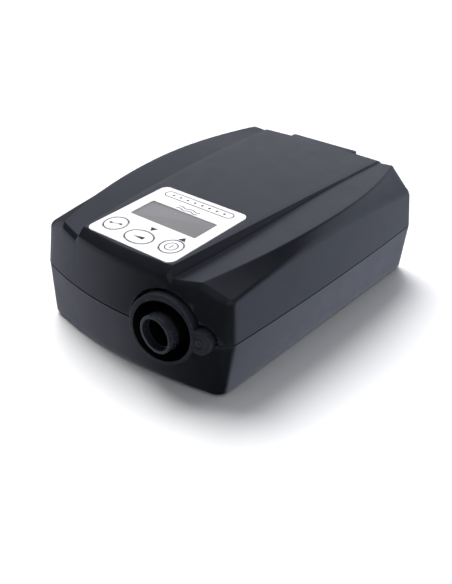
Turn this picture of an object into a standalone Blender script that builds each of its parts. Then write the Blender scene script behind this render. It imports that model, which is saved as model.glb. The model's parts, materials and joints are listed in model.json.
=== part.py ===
"""Desktop positive-pressure ventilator: a moulded case with a keypad and display on its crown,
a hose outlet at the front right, a filter door at the back, and the blower and boards inside.

Metres, +Z up, the front towards -Y. The origin is the middle of the object's bottom.
Pieces are placed in the case's own frame: z = 0 is the case's underside.
"""

import math
from dataclasses import dataclass, replace

import bmesh
import bpy
from mathutils import Matrix, Vector

MM = 0.001
DEG = math.pi / 180

# ---------------------------------------------------------------- driving dimensions

FOOT_PROUD = 1.5 * MM  # the feet lift the underside by this
CASE_BACK_SHIFT = 1.0 * MM  # centres the box of case, outlet and filter door on the origin
GAP = 0.3 * MM  # between pieces that touch
MERGE = 0.001 * MM  # points this close are one

HALF_WIDTH = 73.1 * MM
HALF_DEPTH = 99.15 * MM
PART_Z = 31.74 * MM  # height of the line between the two case halves
PART_GAP = 0.2 * MM  # each half stops this far from the line
WALL = 2.5 * MM
ROOF_DROP = 2.8 * MM  # roof thickness, measured straight down
FLOOR = 2.5 * MM
LIP_HEIGHT = 1.8 * MM  # tongue of the lower half inside the upper half
LIP_INSET = 1.4 * MM
MIN_CORNER = 1.5 * MM

SIDE_DRAFT = 0.09  # the upper walls lean in by these, per unit of height
FRONT_DRAFT = 0.16
BACK_DRAFT = 0.12
TOP_CORNER = 3.8 * MM
CORNER_STEPS = 3

# Crown: centre panel, a step down to each shoulder, a ridge, and a chamfer to the side wall.
PANEL_TOP = 70.03 * MM
PANEL_CREST_Y = 57 * MM
PANEL_SAG = 4.27 * MM  # from the crest to the front end
PANEL_RUN = 144 * MM
PANEL_HALF = 41.0 * MM  # half-width at PANEL_MID_Y
PANEL_MID_Y = -3 * MM
PANEL_FLARE = 5.55 * MM  # gain in half-width over PANEL_SPAN
PANEL_BOW = 1.85 * MM
PANEL_SPAN = 84 * MM
STEP_LEAN = 0.5
STEP_BACK = 1.15 * MM  # height of the step at the back
STEP_GAIN = 4.2 * MM  # extra height of the step at the front
STEP_FRONT_Y = -90 * MM
STEP_RUN = 155 * MM
RIDGE_HALF = 67.4 * MM
RIDGE_WIDE_Y = 13 * MM
RIDGE_FRONT_BOW = 16.0 * MM  # drop in half-width over 100 mm
RIDGE_BACK_BOW = 21.0 * MM
RIDGE_TOP = 69.75 * MM
RIDGE_CREST_Y = 45 * MM
RIDGE_SAG = 4.4 * MM  # drop over 100 mm
SAG_RUN = 100 * MM
SIDE_TOP = 59.5 * MM  # top of the side wall at mid-length
SIDE_ARCH = 8.65 * MM  # its drop at the ends

# Edges that roll over from the crown into the walls: reach in plan, and fall in height.
SIDE_REACH, SIDE_FALL = 1.5 * MM, 1.8 * MM
PANEL_REACH, PANEL_FALL = 5.5 * MM, 3.9 * MM
SHOULDER_REACH, SHOULDER_FALL = 4.0 * MM, 2.0 * MM
BACK_REACH, BACK_FALL = 6.0 * MM, 4.0 * MM

# Keypad: everything on it is placed in the frame of the panel's front, tilted up to the back.
PANEL_FRAME_Y = -87.1 * MM
PANEL_FRAME_Z = 65.76 * MM
PANEL_TILT = 2.65 * DEG
OVERLAY_HALF = 32.0 * MM
OVERLAY_LENGTH = 63.4 * MM
OVERLAY_CORNER = 4.5 * MM
OVERLAY_TOP = 0.4 * MM
OVERLAY_BOTTOM = -0.5 * MM
WINDOW_HALF = 24.4 * MM
WINDOW_FRONT = 26.7 * MM
WINDOW_BACK = 45.2 * MM
SCREEN_TOP = -1.6 * MM
SCREEN_BOTTOM = -4.0 * MM
KEY_BOTTOM = -2.7 * MM
KEYS = {  # name: centre across, centre along, half-width, half-length
    "ramp": (-21.6 * MM, 13.0 * MM, 7.3 * MM, 7.3 * MM),
    "mode": (-0.5 * MM, 10.1 * MM, 9.4 * MM, 6.9 * MM),
    "power": (20.4 * MM, 13.0 * MM, 7.0 * MM, 7.0 * MM),
}
KEY_TRAVEL = 0.6 * MM
BOARD_TOP = -7.8 * MM
BOARD_BOTTOM = -9.4 * MM
BOARD_HALF = 31.0 * MM
BOARD_FRONT = 2.5 * MM
BOARD_BACK = 61.0 * MM
LCD_RIM = 3 * MM
SWITCH_HALF = 3 * MM
BUZZER_PLACE = (14 * MM, 54 * MM)
BUZZER_HEIGHT = 3.5 * MM
BOARD_POSTS = ((-28 * MM, 6 * MM), (28 * MM, 6 * MM), (-28 * MM, 57.5 * MM), (28 * MM, 57.5 * MM))

# Outlet: a 22 mm male cone in a deep round recess, with a flange that has one round lobe.
OUTLET_X = 34.6 * MM
OUTLET_Z = 32.2 * MM
FLANGE_Y = -98.4 * MM
FLANGE_TURN = 11 * DEG  # the flange faces square out of the bowed front
FLANGE_LEAN = 5 * DEG  # and leans back as the upper wall does
FLANGE_RISE = 0.7 * MM  # above the cone's axis
FLANGE_RADIUS = 20.0 * MM
FLANGE_DEPTH = 12.5 * MM
COLLAR_DEPTH = 1.6 * MM
COLLAR_RIM = 3.2 * MM
RECESS_RADIUS = 17.2 * MM
CUP_RADIUS = 18.6 * MM
CUP_FLOOR_FRONT, CUP_FLOOR_BACK = -78 * MM, -76 * MM
LOBE_ACROSS, LOBE_UP, LOBE_RADIUS = 22.7 * MM, -0.56 * MM, 6.9 * MM
UPPER_CLEARANCE = 2.0 * MM
CONE_FRONT_Y = -102.9 * MM
CONE_RADIUS = 11.0 * MM
CONE_TAPER = 1 / 40  # on the diameter
CONE_BORE = 8.6 * MM
CONE_BACK_Y = -62 * MM

# Blower: spiral housing on three rubber mounts, its duct in line with the outlet.
BLOWER_X = 3.6 * MM
BLOWER_Y = 14 * MM
DUCT_OFFSET = OUTLET_X - BLOWER_X
DUCT_HALF = 12 * MM
DUCT_LENGTH = 45 * MM
SPIRAL_START, SPIRAL_GROWTH = 33 * MM, 10 * MM
HOUSING_BOTTOM, HOUSING_SPLIT, HOUSING_TOP = 20.2 * MM, 32.2 * MM, 44.2 * MM
HOUSING_WALL = 2 * MM
MOTOR_CUP_RADIUS, MOTOR_WELL_RADIUS, MOTOR_CUP_BOTTOM = 22 * MM, 20 * MM, 8 * MM
INLET_EYE = 14 * MM
IMPELLER_RADIUS, IMPELLER_HUB = 29 * MM, 7 * MM
IMPELLER_BOTTOM, IMPELLER_DISC, IMPELLER_TOP = 24 * MM, 1.6 * MM, 38 * MM
BLADES = 11
SHAFT_RADIUS = 2 * MM
MOUNT_RADIUS, MOUNT_CIRCLE = 5 * MM, 28 * MM

# Back: filter door in the middle, power inlet and data port beside it.
DOOR_HALF = 28 * MM
DOOR_BOTTOM = 12 * MM
DOOR_SHELL = 2.2 * MM
DOOR_BACK_Y = 100.9 * MM
DOOR_FRONT_Y = 89.9 * MM
DOOR_TOP = 62 * MM
DOOR_ARC = 4 * MM
DOOR_LEAN = 1.3 * MM

# The edge of the roof that hangs over the door.
VISOR_HALF = 24.5 * MM
VISOR_FRONT_Y = 84 * MM
VISOR_BACK_Y = 97.1 * MM
VISOR_BOTTOM = 66 * MM
VISOR_ARC = 2 * MM

SOCKET_X, SOCKET_Z = 48 * MM, 17 * MM
SOCKET_HALF_HEIGHT = 5.7 * MM
POWER_HALF, DATA_HALF = 6 * MM, 7 * MM
SOCKET_FRONT_Y, SOCKET_BACK_Y = 82 * MM, 95.6 * MM

SCREW_PLACES = ((-57 * MM, -70 * MM), (57 * MM, -70 * MM), (-57 * MM, 70 * MM), (57 * MM, 70 * MM))
FOOT_PLACES = ((-44 * MM, -76 * MM), (44 * MM, -76 * MM), (-44 * MM, 78 * MM), (44 * MM, 78 * MM))
CORNER_NAMES = ("front_left", "front_right", "back_left", "back_right")
BOSS_RADIUS = 4.2 * MM
SCREW_SEAT = 6 * MM  # height of the shoulder that the case screws' heads pull on
CASE_SCREW = (1.5 * MM, 2.9 * MM, 2.2 * MM, 36 * MM)  # shank radius, head radius, head height, length
BOARD_SCREW = (1.0 * MM, 2.2 * MM, 1.4 * MM, 5.2 * MM)
FOOT_RADIUS, FOOT_RECESS = 6.5 * MM, 1.2 * MM

FINISHES = {  # colour, roughness, metallic
    "case": ((0.018, 0.019, 0.024), 0.42, 0.0),
    "overlay": ((0.86, 0.86, 0.85), 0.35, 0.0),
    "screen": ((0.30, 0.31, 0.31), 0.2, 0.0),
    "board": ((0.02, 0.13, 0.06), 0.45, 0.0),
    "component": ((0.02, 0.02, 0.02), 0.5, 0.0),
    "silicone": ((0.45, 0.46, 0.48), 0.6, 0.0),
    "rubber": ((0.02, 0.02, 0.02), 0.8, 0.0),
    "housing": ((0.50, 0.51, 0.52), 0.45, 0.0),
    "steel": ((0.56, 0.56, 0.57), 0.3, 1.0),
    "magnet": ((0.10, 0.10, 0.11), 0.4, 0.8),
    "copper": ((0.62, 0.28, 0.14), 0.35, 1.0),
    "foam": ((0.06, 0.06, 0.065), 0.95, 0.0),
    "filter": ((0.78, 0.79, 0.80), 0.95, 0.0),
}


# ---------------------------------------------------------------- scene helpers


def clear_scene():
    for obj in list(bpy.data.objects):
        bpy.data.objects.remove(obj)


def make_collection(name):
    collection = bpy.data.collections.new(name)
    bpy.context.scene.collection.children.link(collection)
    return collection


def make_frame(name, location, rotation=(0, 0, 0), parent=None):
    """An empty that pieces are placed in."""
    frame = bpy.data.objects.new(name, None)
    frame.location = location
    frame.rotation_euler = rotation
    frame.parent = parent
    PARTS.objects.link(frame)
    return frame


def finish_material(name, finish):
    colour, roughness, metallic = FINISHES[finish]
    material = bpy.data.materials.new(name + "_" + finish)
    material.use_nodes = True
    shader = material.node_tree.nodes["Principled BSDF"]
    shader.inputs["Base Color"].default_value = (*colour, 1)
    shader.inputs["Roughness"].default_value = roughness
    shader.inputs["Metallic"].default_value = metallic
    return material


def piece(name, mesh, finish, frame=None, location=(0, 0, 0), rotation=(0, 0, 0)):
    """A named sub-part in its own material, placed in a frame."""
    obj = bpy.data.objects.new(name, mesh)
    mesh.materials.append(finish_material(name, finish))
    obj.parent = frame or CASE
    obj.location = location
    obj.rotation_euler = rotation
    PARTS.objects.link(obj)
    return obj


def tool(name, mesh, frame=None, location=(0, 0, 0), rotation=(0, 0, 0)):
    """A shape that only cuts or joins another."""
    obj = bpy.data.objects.new(name, mesh)
    obj.parent = frame or CASE
    obj.location = location
    obj.rotation_euler = rotation
    obj.hide_render = True
    obj.display_type = "WIRE"
    TOOLS.objects.link(obj)
    return obj


def combine(target, other, operation):
    modifier = target.modifiers.new(other.name, "BOOLEAN")
    modifier.operation = operation
    modifier.solver = "EXACT"
    modifier.object = other


def cut(target, *cutters):
    for cutter in cutters:
        combine(target, cutter, "DIFFERENCE")


def join(target, *others):
    for other in others:
        combine(target, other, "UNION")


# ---------------------------------------------------------------- mesh makers


def box_mesh(name, low, high):
    mesh = bpy.data.meshes.new(name)
    bm = bmesh.new()
    size = [h - l for l, h in zip(low, high)]
    middle = [(h + l) / 2 for l, h in zip(low, high)]
    bmesh.ops.create_cube(bm, matrix=Matrix.Translation(middle) @ Matrix.Diagonal((*size, 1)))
    bm.to_mesh(mesh)
    bm.free()
    return mesh


def cylinder_mesh(name, radius, low, high, segments=24, top_radius=None, at=(0, 0)):
    """An upright cylinder or cone from z = low to z = high."""
    mesh = bpy.data.meshes.new(name)
    bm = bmesh.new()
    bmesh.ops.create_cone(
        bm,
        cap_ends=True,
        segments=segments,
        radius1=radius,
        radius2=radius if top_radius is None else top_radius,
        depth=high - low,
        matrix=Matrix.Translation((*at, (low + high) / 2)),
    )
    bm.to_mesh(mesh)
    bm.free()
    mesh.shade_smooth()
    mesh.set_sharp_from_angle(angle=35 * DEG)
    return mesh


def plate_mesh(name, outline, low, high):
    """A flat outline, given anticlockwise, made solid from z = low to z = high."""
    curve = bpy.data.curves.new(name, "CURVE")
    curve.dimensions = "2D"
    curve.fill_mode = "BOTH"
    curve.extrude = (high - low) / 2
    spline = curve.splines.new("POLY")
    spline.points.add(len(outline) - 1)
    spline.use_cyclic_u = True
    for point, (x, y) in zip(spline.points, outline):
        point.co = (x, y, 0, 1)
    holder = bpy.data.objects.new(name, curve)
    mesh = bpy.data.meshes.new_from_object(holder)
    bpy.data.objects.remove(holder)
    bm = bmesh.new()
    bm.from_mesh(mesh)
    bmesh.ops.remove_doubles(bm, verts=bm.verts, dist=MERGE)
    bmesh.ops.translate(bm, verts=bm.verts, vec=(0, 0, (low + high) / 2))
    bmesh.ops.recalc_face_normals(bm, faces=bm.faces)
    bm.to_mesh(mesh)
    bm.free()
    return mesh


def loft_mesh(name, rings, closed=False):
    """Skin between rings of equally many points, with flat ends, or closed back on itself."""
    mesh = bpy.data.meshes.new(name)
    bm = bmesh.new()
    rows = [[bm.verts.new(point) for point in ring] for ring in rings]
    count = len(rings[0])
    pairs = list(zip(rows, rows[1:])) + ([(rows[-1], rows[0])] if closed else [])
    for lower, upper in pairs:
        for k in range(count):
            after = (k + 1) % count
            bm.faces.new((lower[k], lower[after], upper[after], upper[k]))
    if not closed:
        bm.faces.new(list(reversed(rows[0])))
        bm.faces.new(rows[-1])
    bmesh.ops.recalc_face_normals(bm, faces=bm.faces)
    bm.to_mesh(mesh)
    bm.free()
    return mesh


def turned_piece(name, profile, finish, segments, frame=None, location=(0, 0, 0), rotation=(0, 0, 0)):
    """A ring turned about Z from a closed outline of (radius, height) points."""
    mesh = bpy.data.meshes.new(name)
    mesh.from_pydata([(r, 0, z) for r, z in profile], closed_edges(len(profile)), [])
    obj = piece(name, mesh, finish, frame, location, rotation)
    screw = obj.modifiers.new("turn", "SCREW")
    screw.angle = math.tau
    screw.steps = screw.render_steps = segments
    screw.use_merge_vertices = True
    screw.merge_threshold = MERGE
    screw.use_smooth_shade = False
    return obj


def closed_edges(count):
    return [(k, (k + 1) % count) for k in range(count)]


def arc(centre, radius, start, end, steps):
    """Points along an arc, with angles in degrees."""
    turn = (end - start) / steps
    angles = [(start + turn * k) * DEG for k in range(steps + 1)]
    return [(centre[0] + radius * math.cos(a), centre[1] + radius * math.sin(a)) for a in angles]


def rounded_rectangle(low, high, radius, steps=4):
    (x0, y0), (x1, y1) = low, high
    return (
        arc((x1 - radius, y0 + radius), radius, -90, 0, steps)
        + arc((x1 - radius, y1 - radius), radius, 0, 90, steps)
        + arc((x0 + radius, y1 - radius), radius, 90, 180, steps)
        + arc((x0 + radius, y0 + radius), radius, 180, 270, steps)
    )


def ellipse(centre, half_width, half_length, steps=28):
    turns = [math.tau * k / steps for k in range(steps)]
    return [(centre[0] + half_width * math.cos(t), centre[1] + half_length * math.sin(t)) for t in turns]


# ---------------------------------------------------------------- the case's form


@dataclass(frozen=True)
class Outline:
    """Plan outline of the case at one height: bowed sides, front and back, round corners."""

    half_width: float
    front: float
    back: float
    side_bow: float
    front_bow: float
    back_bow: float
    corner: float

    def side_x(self, y):
        return self.half_width - self.side_bow * (y / HALF_DEPTH) ** 2

    def front_y(self, x):
        return -self.front + self.front_bow * (x / HALF_WIDTH) ** 2

    def back_y(self, x):
        return self.back - self.back_bow * (x / HALF_WIDTH) ** 2

    def inset(self, wall):
        return replace(
            self,
            half_width=self.half_width - wall,
            front=self.front - wall,
            back=self.back - wall,
            corner=max(self.corner - wall, MIN_CORNER),
        )


PARTING = Outline(HALF_WIDTH, HALF_DEPTH, 99.8 * MM, 2.53 * MM, 13.11 * MM, 4.0 * MM, 5.6 * MM)
BASE = Outline(67.3 * MM, 97.6 * MM, 98.7 * MM, 0, 10.2 * MM, 3.5 * MM, 5.0 * MM)


def lower_outline(z):
    """Between the base's outline and the parting line's."""
    share = z / PART_Z

    def between(name):
        low, high = getattr(BASE, name), getattr(PARTING, name)
        return low + (high - low) * share

    return Outline(*[between(name) for name in Outline.__dataclass_fields__])


def round_corner(radius, x, y, front_y, back_y, side_x):
    """Move a point in a corner's square onto the disc that rounds the corner.

    Returns the point, its distance from the outline, and how far it faces the end wall.
    """
    from_side = side_x - abs(x)
    from_end = min(y - front_y, back_y - y)
    across, along = radius - from_side, radius - from_end
    if across <= 0 or along <= 0:
        return x, y, min(from_side, from_end), 1.0 if from_end < from_side else 0.0
    half_square = 2 * radius * radius
    new_across = across * math.sqrt(1 - along * along / half_square)
    new_along = along * math.sqrt(1 - across * across / half_square)
    x -= math.copysign(across - new_across, x)
    towards_middle = 1 if y - front_y < back_y - y else -1
    y += towards_middle * (along - new_along)
    return x, y, radius - math.hypot(new_across, new_along), along / (across + along)


def spread(low, high, corner, count):
    """Places from one end of an edge to the other, with extra ones in its rounded corners."""
    turn = [corner * k / CORNER_STEPS for k in range(CORNER_STEPS)]
    run = high - low - 2 * corner
    inner = [low + corner + run * k / count for k in range(count + 1)]
    return [low + t for t in turn] + inner + [high - t for t in reversed(turn)]


def corner_tip(outline, edge_y):
    """Where an end wall's curve meets the side's."""
    x = outline.half_width
    for _ in range(20):
        y = edge_y(x)
        x = outline.side_x(y)
    return x, y


def outline_ring(outline, z, across=14, along=12):
    """Points around an outline, anticlockwise from the front left corner."""
    front_x, front_tip = corner_tip(outline, outline.front_y)
    back_x, back_tip = corner_tip(outline, outline.back_y)
    ring = [(x, outline.front_y(x)) for x in spread(-front_x, front_x, outline.corner, across)]
    ring += [(outline.side_x(y), y) for y in spread(front_tip, back_tip, outline.corner, along)[1:]]
    ring += [(x, outline.back_y(x)) for x in spread(back_x, -back_x, -outline.corner, across)[1:]]
    ring += [(-outline.side_x(y), y) for y in spread(back_tip, front_tip, -outline.corner, along)[1:-1]]
    rounded = []
    for x, y in ring:
        place = round_corner(
            outline.corner, x, y, outline.front_y(x), outline.back_y(x), outline.side_x(y)
        )
        rounded.append((place[0], place[1], z))
    return rounded


def panel_z(y):
    return PANEL_TOP - PANEL_SAG * ((y - PANEL_CREST_Y) / PANEL_RUN) ** 2


def panel_edge(y):
    share = (y - PANEL_MID_Y) / PANEL_SPAN
    return PANEL_HALF + PANEL_FLARE * share - PANEL_BOW * share * share


def step_height(y):
    """The panel's step is high at the front and fades towards the back."""
    share = min(max((y - STEP_FRONT_Y) / STEP_RUN, 0), 1)
    return STEP_BACK + STEP_GAIN * (1 + math.cos(math.pi * share)) / 2


def ridge_x(y):
    bow = RIDGE_FRONT_BOW if y < RIDGE_WIDE_Y else RIDGE_BACK_BOW
    return RIDGE_HALF - bow * ((y - RIDGE_WIDE_Y) / SAG_RUN) ** 2


def ridge_z(y):
    return RIDGE_TOP - RIDGE_SAG * (min(y - RIDGE_CREST_Y, 0) / SAG_RUN) ** 2


def side_top_z(y):
    return SIDE_TOP - SIDE_ARCH * (y / HALF_DEPTH) ** 2


def side_top_x(y):
    return PARTING.side_x(y) - SIDE_DRAFT * (side_top_z(y) - PART_Z)


def bend(distance, slope):
    """What a kink adds beyond the line where it starts."""
    return slope * max(distance, 0)


def roof_z(x, y):
    """Height of the crown before its edges roll over."""
    x = abs(x)
    step = step_height(y)
    edge, base = panel_edge(y), panel_edge(y) + STEP_LEAN * step
    ridge, side = ridge_x(y), side_top_x(y)
    top = panel_z(y)
    shoulder = (ridge_z(y) - top + step) / (ridge - base)
    chamfer = (side_top_z(y) + SIDE_FALL - ridge_z(y)) / (side - ridge)
    top += bend(x - edge, -1 / STEP_LEAN)
    top += bend(x - base, 1 / STEP_LEAN + shoulder)
    return top + bend(x - ridge, chamfer - shoulder)


def front_roll(x):
    """Reach and fall of the front edge: deep under the panel, shallow on the shoulders."""
    y = -HALF_DEPTH + PANEL_REACH
    edge, base = panel_edge(y), panel_edge(y) + STEP_LEAN * step_height(y)
    share = min(max((base - abs(x)) / (base - edge), 0), 1)
    reach = SHOULDER_REACH + (PANEL_REACH - SHOULDER_REACH) * share
    return reach, SHOULDER_FALL + (PANEL_FALL - SHOULDER_FALL) * share


def top_front_y(x):
    y = PARTING.front_y(x) + PANEL_REACH
    height = roof_z(x, y) - front_roll(x)[1]
    return PARTING.front_y(x) + FRONT_DRAFT * (height - PART_Z)


def top_back_y(x):
    y = PARTING.back_y(x) - BACK_REACH
    return PARTING.back_y(x) - BACK_DRAFT * (roof_z(x, y) - BACK_FALL - PART_Z)


def crown_columns(y, inset):
    """Places across the crown from the middle to the right side, on the lines where it bends."""
    edge = panel_edge(y)
    base = edge + STEP_LEAN * step_height(y)
    ridge, side = ridge_x(y), side_top_x(y) - inset
    ridge = min(ridge, side - inset - MM)
    turn = min(TOP_CORNER - inset / 2, 0.75 * (side - ridge))
    shares = [turn * k / CORNER_STEPS for k in range(CORNER_STEPS + 1)]
    return [0, edge / 2, edge, base, (base + ridge) / 2, ridge] + [side - s for s in reversed(shares)]


def crown_point(column, row, inset, drop):
    """A point of the crown's grid: row is (share from front to back, distance from that end)."""
    share, distance = row
    sign = 1 if column >= 0 else -1
    x, y = 0.0, 0.0
    for _ in range(4):
        x = sign * crown_columns(y, inset)[abs(column)]
        front, back = top_front_y(x) + inset, top_back_y(x) - inset
        y = front + (back - front) * share + distance
    corner = TOP_CORNER - inset / 2
    side = side_top_x(y) - inset
    x, y, depth, endness = round_corner(corner, x, y, front, back, side)
    reach, fall = front_roll(x) if y < 0 else (BACK_REACH, BACK_FALL)
    reach = SIDE_REACH + (reach - SIDE_REACH) * endness
    fall = SIDE_FALL + (fall - SIDE_FALL) * endness
    return x, y, roof_z(x, y) - roll(depth, reach, fall) - drop


def roll(depth, reach, fall):
    """Quarter ellipse: how far an edge has fallen at this distance from the outline."""
    if depth >= reach:
        return 0.0
    return fall * (1 - math.sqrt(max(0.0, 1 - (1 - max(depth, 0) / reach) ** 2)))


def crown_rows():
    """Front and back rows sit close together where the edge rolls over."""
    turn = [TOP_CORNER * k / CORNER_STEPS for k in (0, 0.4, 1, 2, 3)]
    stations = 11
    inner = [(k / stations, 0) for k in range(1, stations)]
    return [(0, t) for t in turn] + inner + [(1, -t) for t in reversed(turn)]


def upper_mesh(name, inset, drop, bottom):
    """The crown with its four walls down to z = bottom, as one closed solid."""
    rows = crown_rows()
    last = len(crown_columns(0, inset)) - 1
    columns = list(range(-last, last + 1))
    mesh = bpy.data.meshes.new(name)
    bm = bmesh.new()
    grid = [[bm.verts.new(crown_point(c, row, inset, drop)) for c in columns] for row in rows]
    for near, far in zip(grid, grid[1:]):
        for k in range(len(columns) - 1):
            bm.faces.new((near[k], near[k + 1], far[k + 1], far[k]))
    edge = grid[0][:-1] + [row[-1] for row in grid[:-1]]
    edge += list(reversed(grid[-1]))[:-1] + [row[0] for row in reversed(grid[1:])]
    foot = [bm.verts.new(wall_foot(vert.co, inset, bottom)) for vert in edge]
    for k, vert in enumerate(edge):
        after = (k + 1) % len(edge)
        bm.faces.new((foot[k], foot[after], edge[after], vert))
    bm.faces.new(list(reversed(foot)))
    bmesh.ops.recalc_face_normals(bm, faces=bm.faces)
    bm.to_mesh(mesh)
    bm.free()
    return mesh


def wall_foot(top, inset, bottom):
    """The point below a point of the crown's edge, where its wall meets the plane z = bottom."""
    ring = PARTING.inset(inset)
    tip_x, front_tip = corner_tip(ring, ring.front_y)
    _, back_tip = corner_tip(ring, ring.back_y)
    middle = (front_tip + back_tip) / 2
    direction = Vector((top.x / tip_x, (top.y - middle) / (back_tip - middle)))
    scale = ray_to_ring(ring, direction, tip_x, back_tip - middle, middle)
    x, y = direction.x * tip_x * scale, middle + direction.y * (back_tip - middle) * scale
    share = (bottom - top.z) / (PART_Z - top.z)
    return top.x + (x - top.x) * share, top.y + (y - top.y) * share, bottom


def ray_to_ring(ring, direction, half_x, half_y, middle):
    """How far to go along a direction from the middle of an outline to reach it."""
    low, high = 0.5, 1.5
    for _ in range(40):
        scale = (low + high) / 2
        x, y = direction.x * half_x * scale, middle + direction.y * half_y * scale
        front, back, side = ring.front_y(x), ring.back_y(x), ring.side_x(y)
        across = max(abs(x) - (side - ring.corner), 0)
        along = max(ring.corner - min(y - front, back - y), 0)
        outside = math.hypot(across, along) > ring.corner
        low, high = (low, scale) if outside else (scale, high)
    return (low + high) / 2


# ---------------------------------------------------------------- case halves


def keyhole_tools(name, grow, front, back):
    """The flange's outline, ring and lobe, grown by a margin and running from front to back."""
    ring = cylinder_mesh(name + "_ring", FLANGE_RADIUS + grow, front, back, 40)
    lobe = cylinder_mesh(
        name + "_lobe", LOBE_RADIUS + grow, front, back, 24, at=(LOBE_ACROSS, -LOBE_UP)
    )
    return tool(name + "_ring", ring, PORT), tool(name + "_lobe", lobe, PORT)


def screw_bosses(name, low, tops):
    """One post for each case screw."""
    return [
        tool(f"{name}_{k}", cylinder_mesh(name, BOSS_RADIUS, low, top, 16, at=place))
        for k, (place, top) in enumerate(zip(SCREW_PLACES, tops))
    ]


def screw_holes(name, radius, low, high):
    return [
        tool(f"{name}_{k}", cylinder_mesh(name, radius, low, high, 12, at=place))
        for k, place in enumerate(SCREW_PLACES)
    ]


def door_profile(grow, front=DOOR_FRONT_Y):
    """Side view of the filter door, grown by a margin: up the back, over the edge, along the top."""
    bottom = DOOR_BOTTOM - grow
    heel_y = DOOR_BACK_Y - DOOR_LEAN + grow
    edge = arc((DOOR_BACK_Y - DOOR_ARC - DOOR_LEAN, DOOR_TOP - DOOR_ARC), DOOR_ARC + grow, 0, 90, 5)
    heel = [(front, bottom), (heel_y, bottom), (DOOR_BACK_Y + grow, PART_Z)]
    return heel + edge + [(front, DOOR_TOP + grow)]


def across_mesh(name, profile, half):
    """A (y, z) outline made solid from x = -half to x = half."""
    return loft_mesh(name, [[(side * half, y, z) for y, z in profile] for side in (-1, 1)])


def door_opening(name):
    return tool(name, across_mesh(name, door_profile(GAP, DOOR_FRONT_Y - GAP), DOOR_HALF + GAP))


def socket_mesh(name, middle_x, half, grow=0, back_y=SOCKET_BACK_Y):
    """The block of a socket in the back wall, grown by a margin."""
    low = (middle_x - half - grow, SOCKET_FRONT_Y - grow, SOCKET_Z - SOCKET_HALF_HEIGHT - grow)
    high = (middle_x + half + grow, back_y, SOCKET_Z + SOCKET_HALF_HEIGHT + grow)
    return box_mesh(name, low, high)


def socket_openings():
    beyond = DOOR_BACK_Y + 4 * MM
    power = socket_mesh("power_opening", -SOCKET_X, POWER_HALF, GAP, beyond)
    data = socket_mesh("data_opening", SOCKET_X, DATA_HALF, GAP, beyond)
    return tool("power_opening", power), tool("data_opening", data)


def make_lower_case():
    rim = PART_Z - PART_GAP
    sole = [(0, 1.2 * MM), (0.4 * MM, 0.4 * MM), (1.4 * MM, 0)]
    rings = [outline_ring(lower_outline(z).inset(cut_in), z) for z, cut_in in sole]
    rings += [outline_ring(lower_outline(1.6 * MM), 1.6 * MM)]
    rings += [outline_ring(lower_outline(rim), rim)]
    lip = PARTING.inset(LIP_INSET)
    rings += [outline_ring(lip, rim), outline_ring(lip, PART_Z + LIP_HEIGHT)]
    case = piece("lower_case", loft_mesh("lower_case", rings), "case")
    hollow = [
        outline_ring(lower_outline(FLOOR).inset(WALL), FLOOR),
        outline_ring(PARTING.inset(WALL), PART_Z),
        outline_ring(PARTING.inset(WALL), PART_Z + 5 * MM),
    ]
    cut(case, tool("lower_hollow", loft_mesh("lower_hollow", hollow)))
    for name, place in zip(CORNER_NAMES, FOOT_PLACES):
        recess = cylinder_mesh("foot_recess", FOOT_RADIUS + GAP, -1 * MM, FOOT_RECESS, 20, at=place)
        cut(case, tool("foot_recess_" + name, recess))
    join(case, *screw_bosses("lower_boss", 1.5 * MM, [PART_Z - 1 * MM] * 4))
    join(case, *[mount_post(k) for k in range(3)])
    cut(case, *screw_holes("screw_clearance", 1.8 * MM, -1 * MM, PART_Z + 1 * MM))
    cut(case, *screw_holes("screw_head_recess", 3.2 * MM, -1 * MM, SCREW_SEAT))
    cut(case, *keyhole_tools("lower_keyhole", GAP, -3 * MM, 16 * MM))
    cut(case, door_opening("lower_door_opening"), *socket_openings())


def mount_place(index):
    """Where one of the blower's three rubber mounts stands, in the blower's frame."""
    angle = math.tau * index / 3 + math.pi / 2
    return MOUNT_CIRCLE * math.cos(angle), MOUNT_CIRCLE * math.sin(angle)


def mount_post(index):
    post = cylinder_mesh("mount_post", 2 * MM, 1.5 * MM, 10 * MM, 12, at=mount_place(index))
    return tool(f"mount_post_{index}", post, BLOWER)


def make_upper_case():
    rim = PART_Z + PART_GAP
    case = piece("upper_case", upper_mesh("upper_case", 0, 0, rim), "case")
    cut(case, tool("upper_hollow", upper_mesh("upper_hollow", WALL, ROOF_DROP, rim - 3 * MM)))
    rebate_ring = PARTING.inset(LIP_INSET - GAP)
    rebate = [outline_ring(rebate_ring, z) for z in (rim - 2 * MM, PART_Z + LIP_HEIGHT + GAP)]
    cut(case, tool("upper_rebate", loft_mesh("upper_rebate", rebate)))
    tops = [roof_z(abs(x) + BOSS_RADIUS, y) - 1.2 * MM for x, y in SCREW_PLACES]
    join(case, *screw_bosses("upper_boss", PART_Z + GAP, tops))
    cut(case, *screw_holes("screw_pilot", 1.9 * MM, PART_Z - 1 * MM, PART_Z + 15 * MM))
    join(case, *board_post_tools("board_post", 2.4 * MM, BOARD_TOP + GAP, -1 * MM))
    cut(case, *board_post_tools("post_pilot", 1.3 * MM, BOARD_TOP - 2 * MM, -3.5 * MM))
    low, high = (-OVERLAY_HALF - GAP, -GAP), (OVERLAY_HALF + GAP, OVERLAY_LENGTH + GAP)
    tray = rounded_rectangle(low, high, OVERLAY_CORNER + GAP)
    recess = plate_mesh("overlay_recess", tray, OVERLAY_BOTTOM - GAP, 4 * MM)
    cut(case, tool("overlay_recess", recess, PANEL))
    cut(case, window_tool("case_window"))
    cut(case, *[key_tool("case_key_" + key, key, GAP) for key in KEYS])
    cut(case, *keyhole_tools("upper_keyhole", UPPER_CLEARANCE, -3 * MM, 16 * MM))
    join(case, tool("visor", across_mesh("visor", visor_profile(), VISOR_HALF)))
    cut(case, door_opening("upper_door_opening"))


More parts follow.
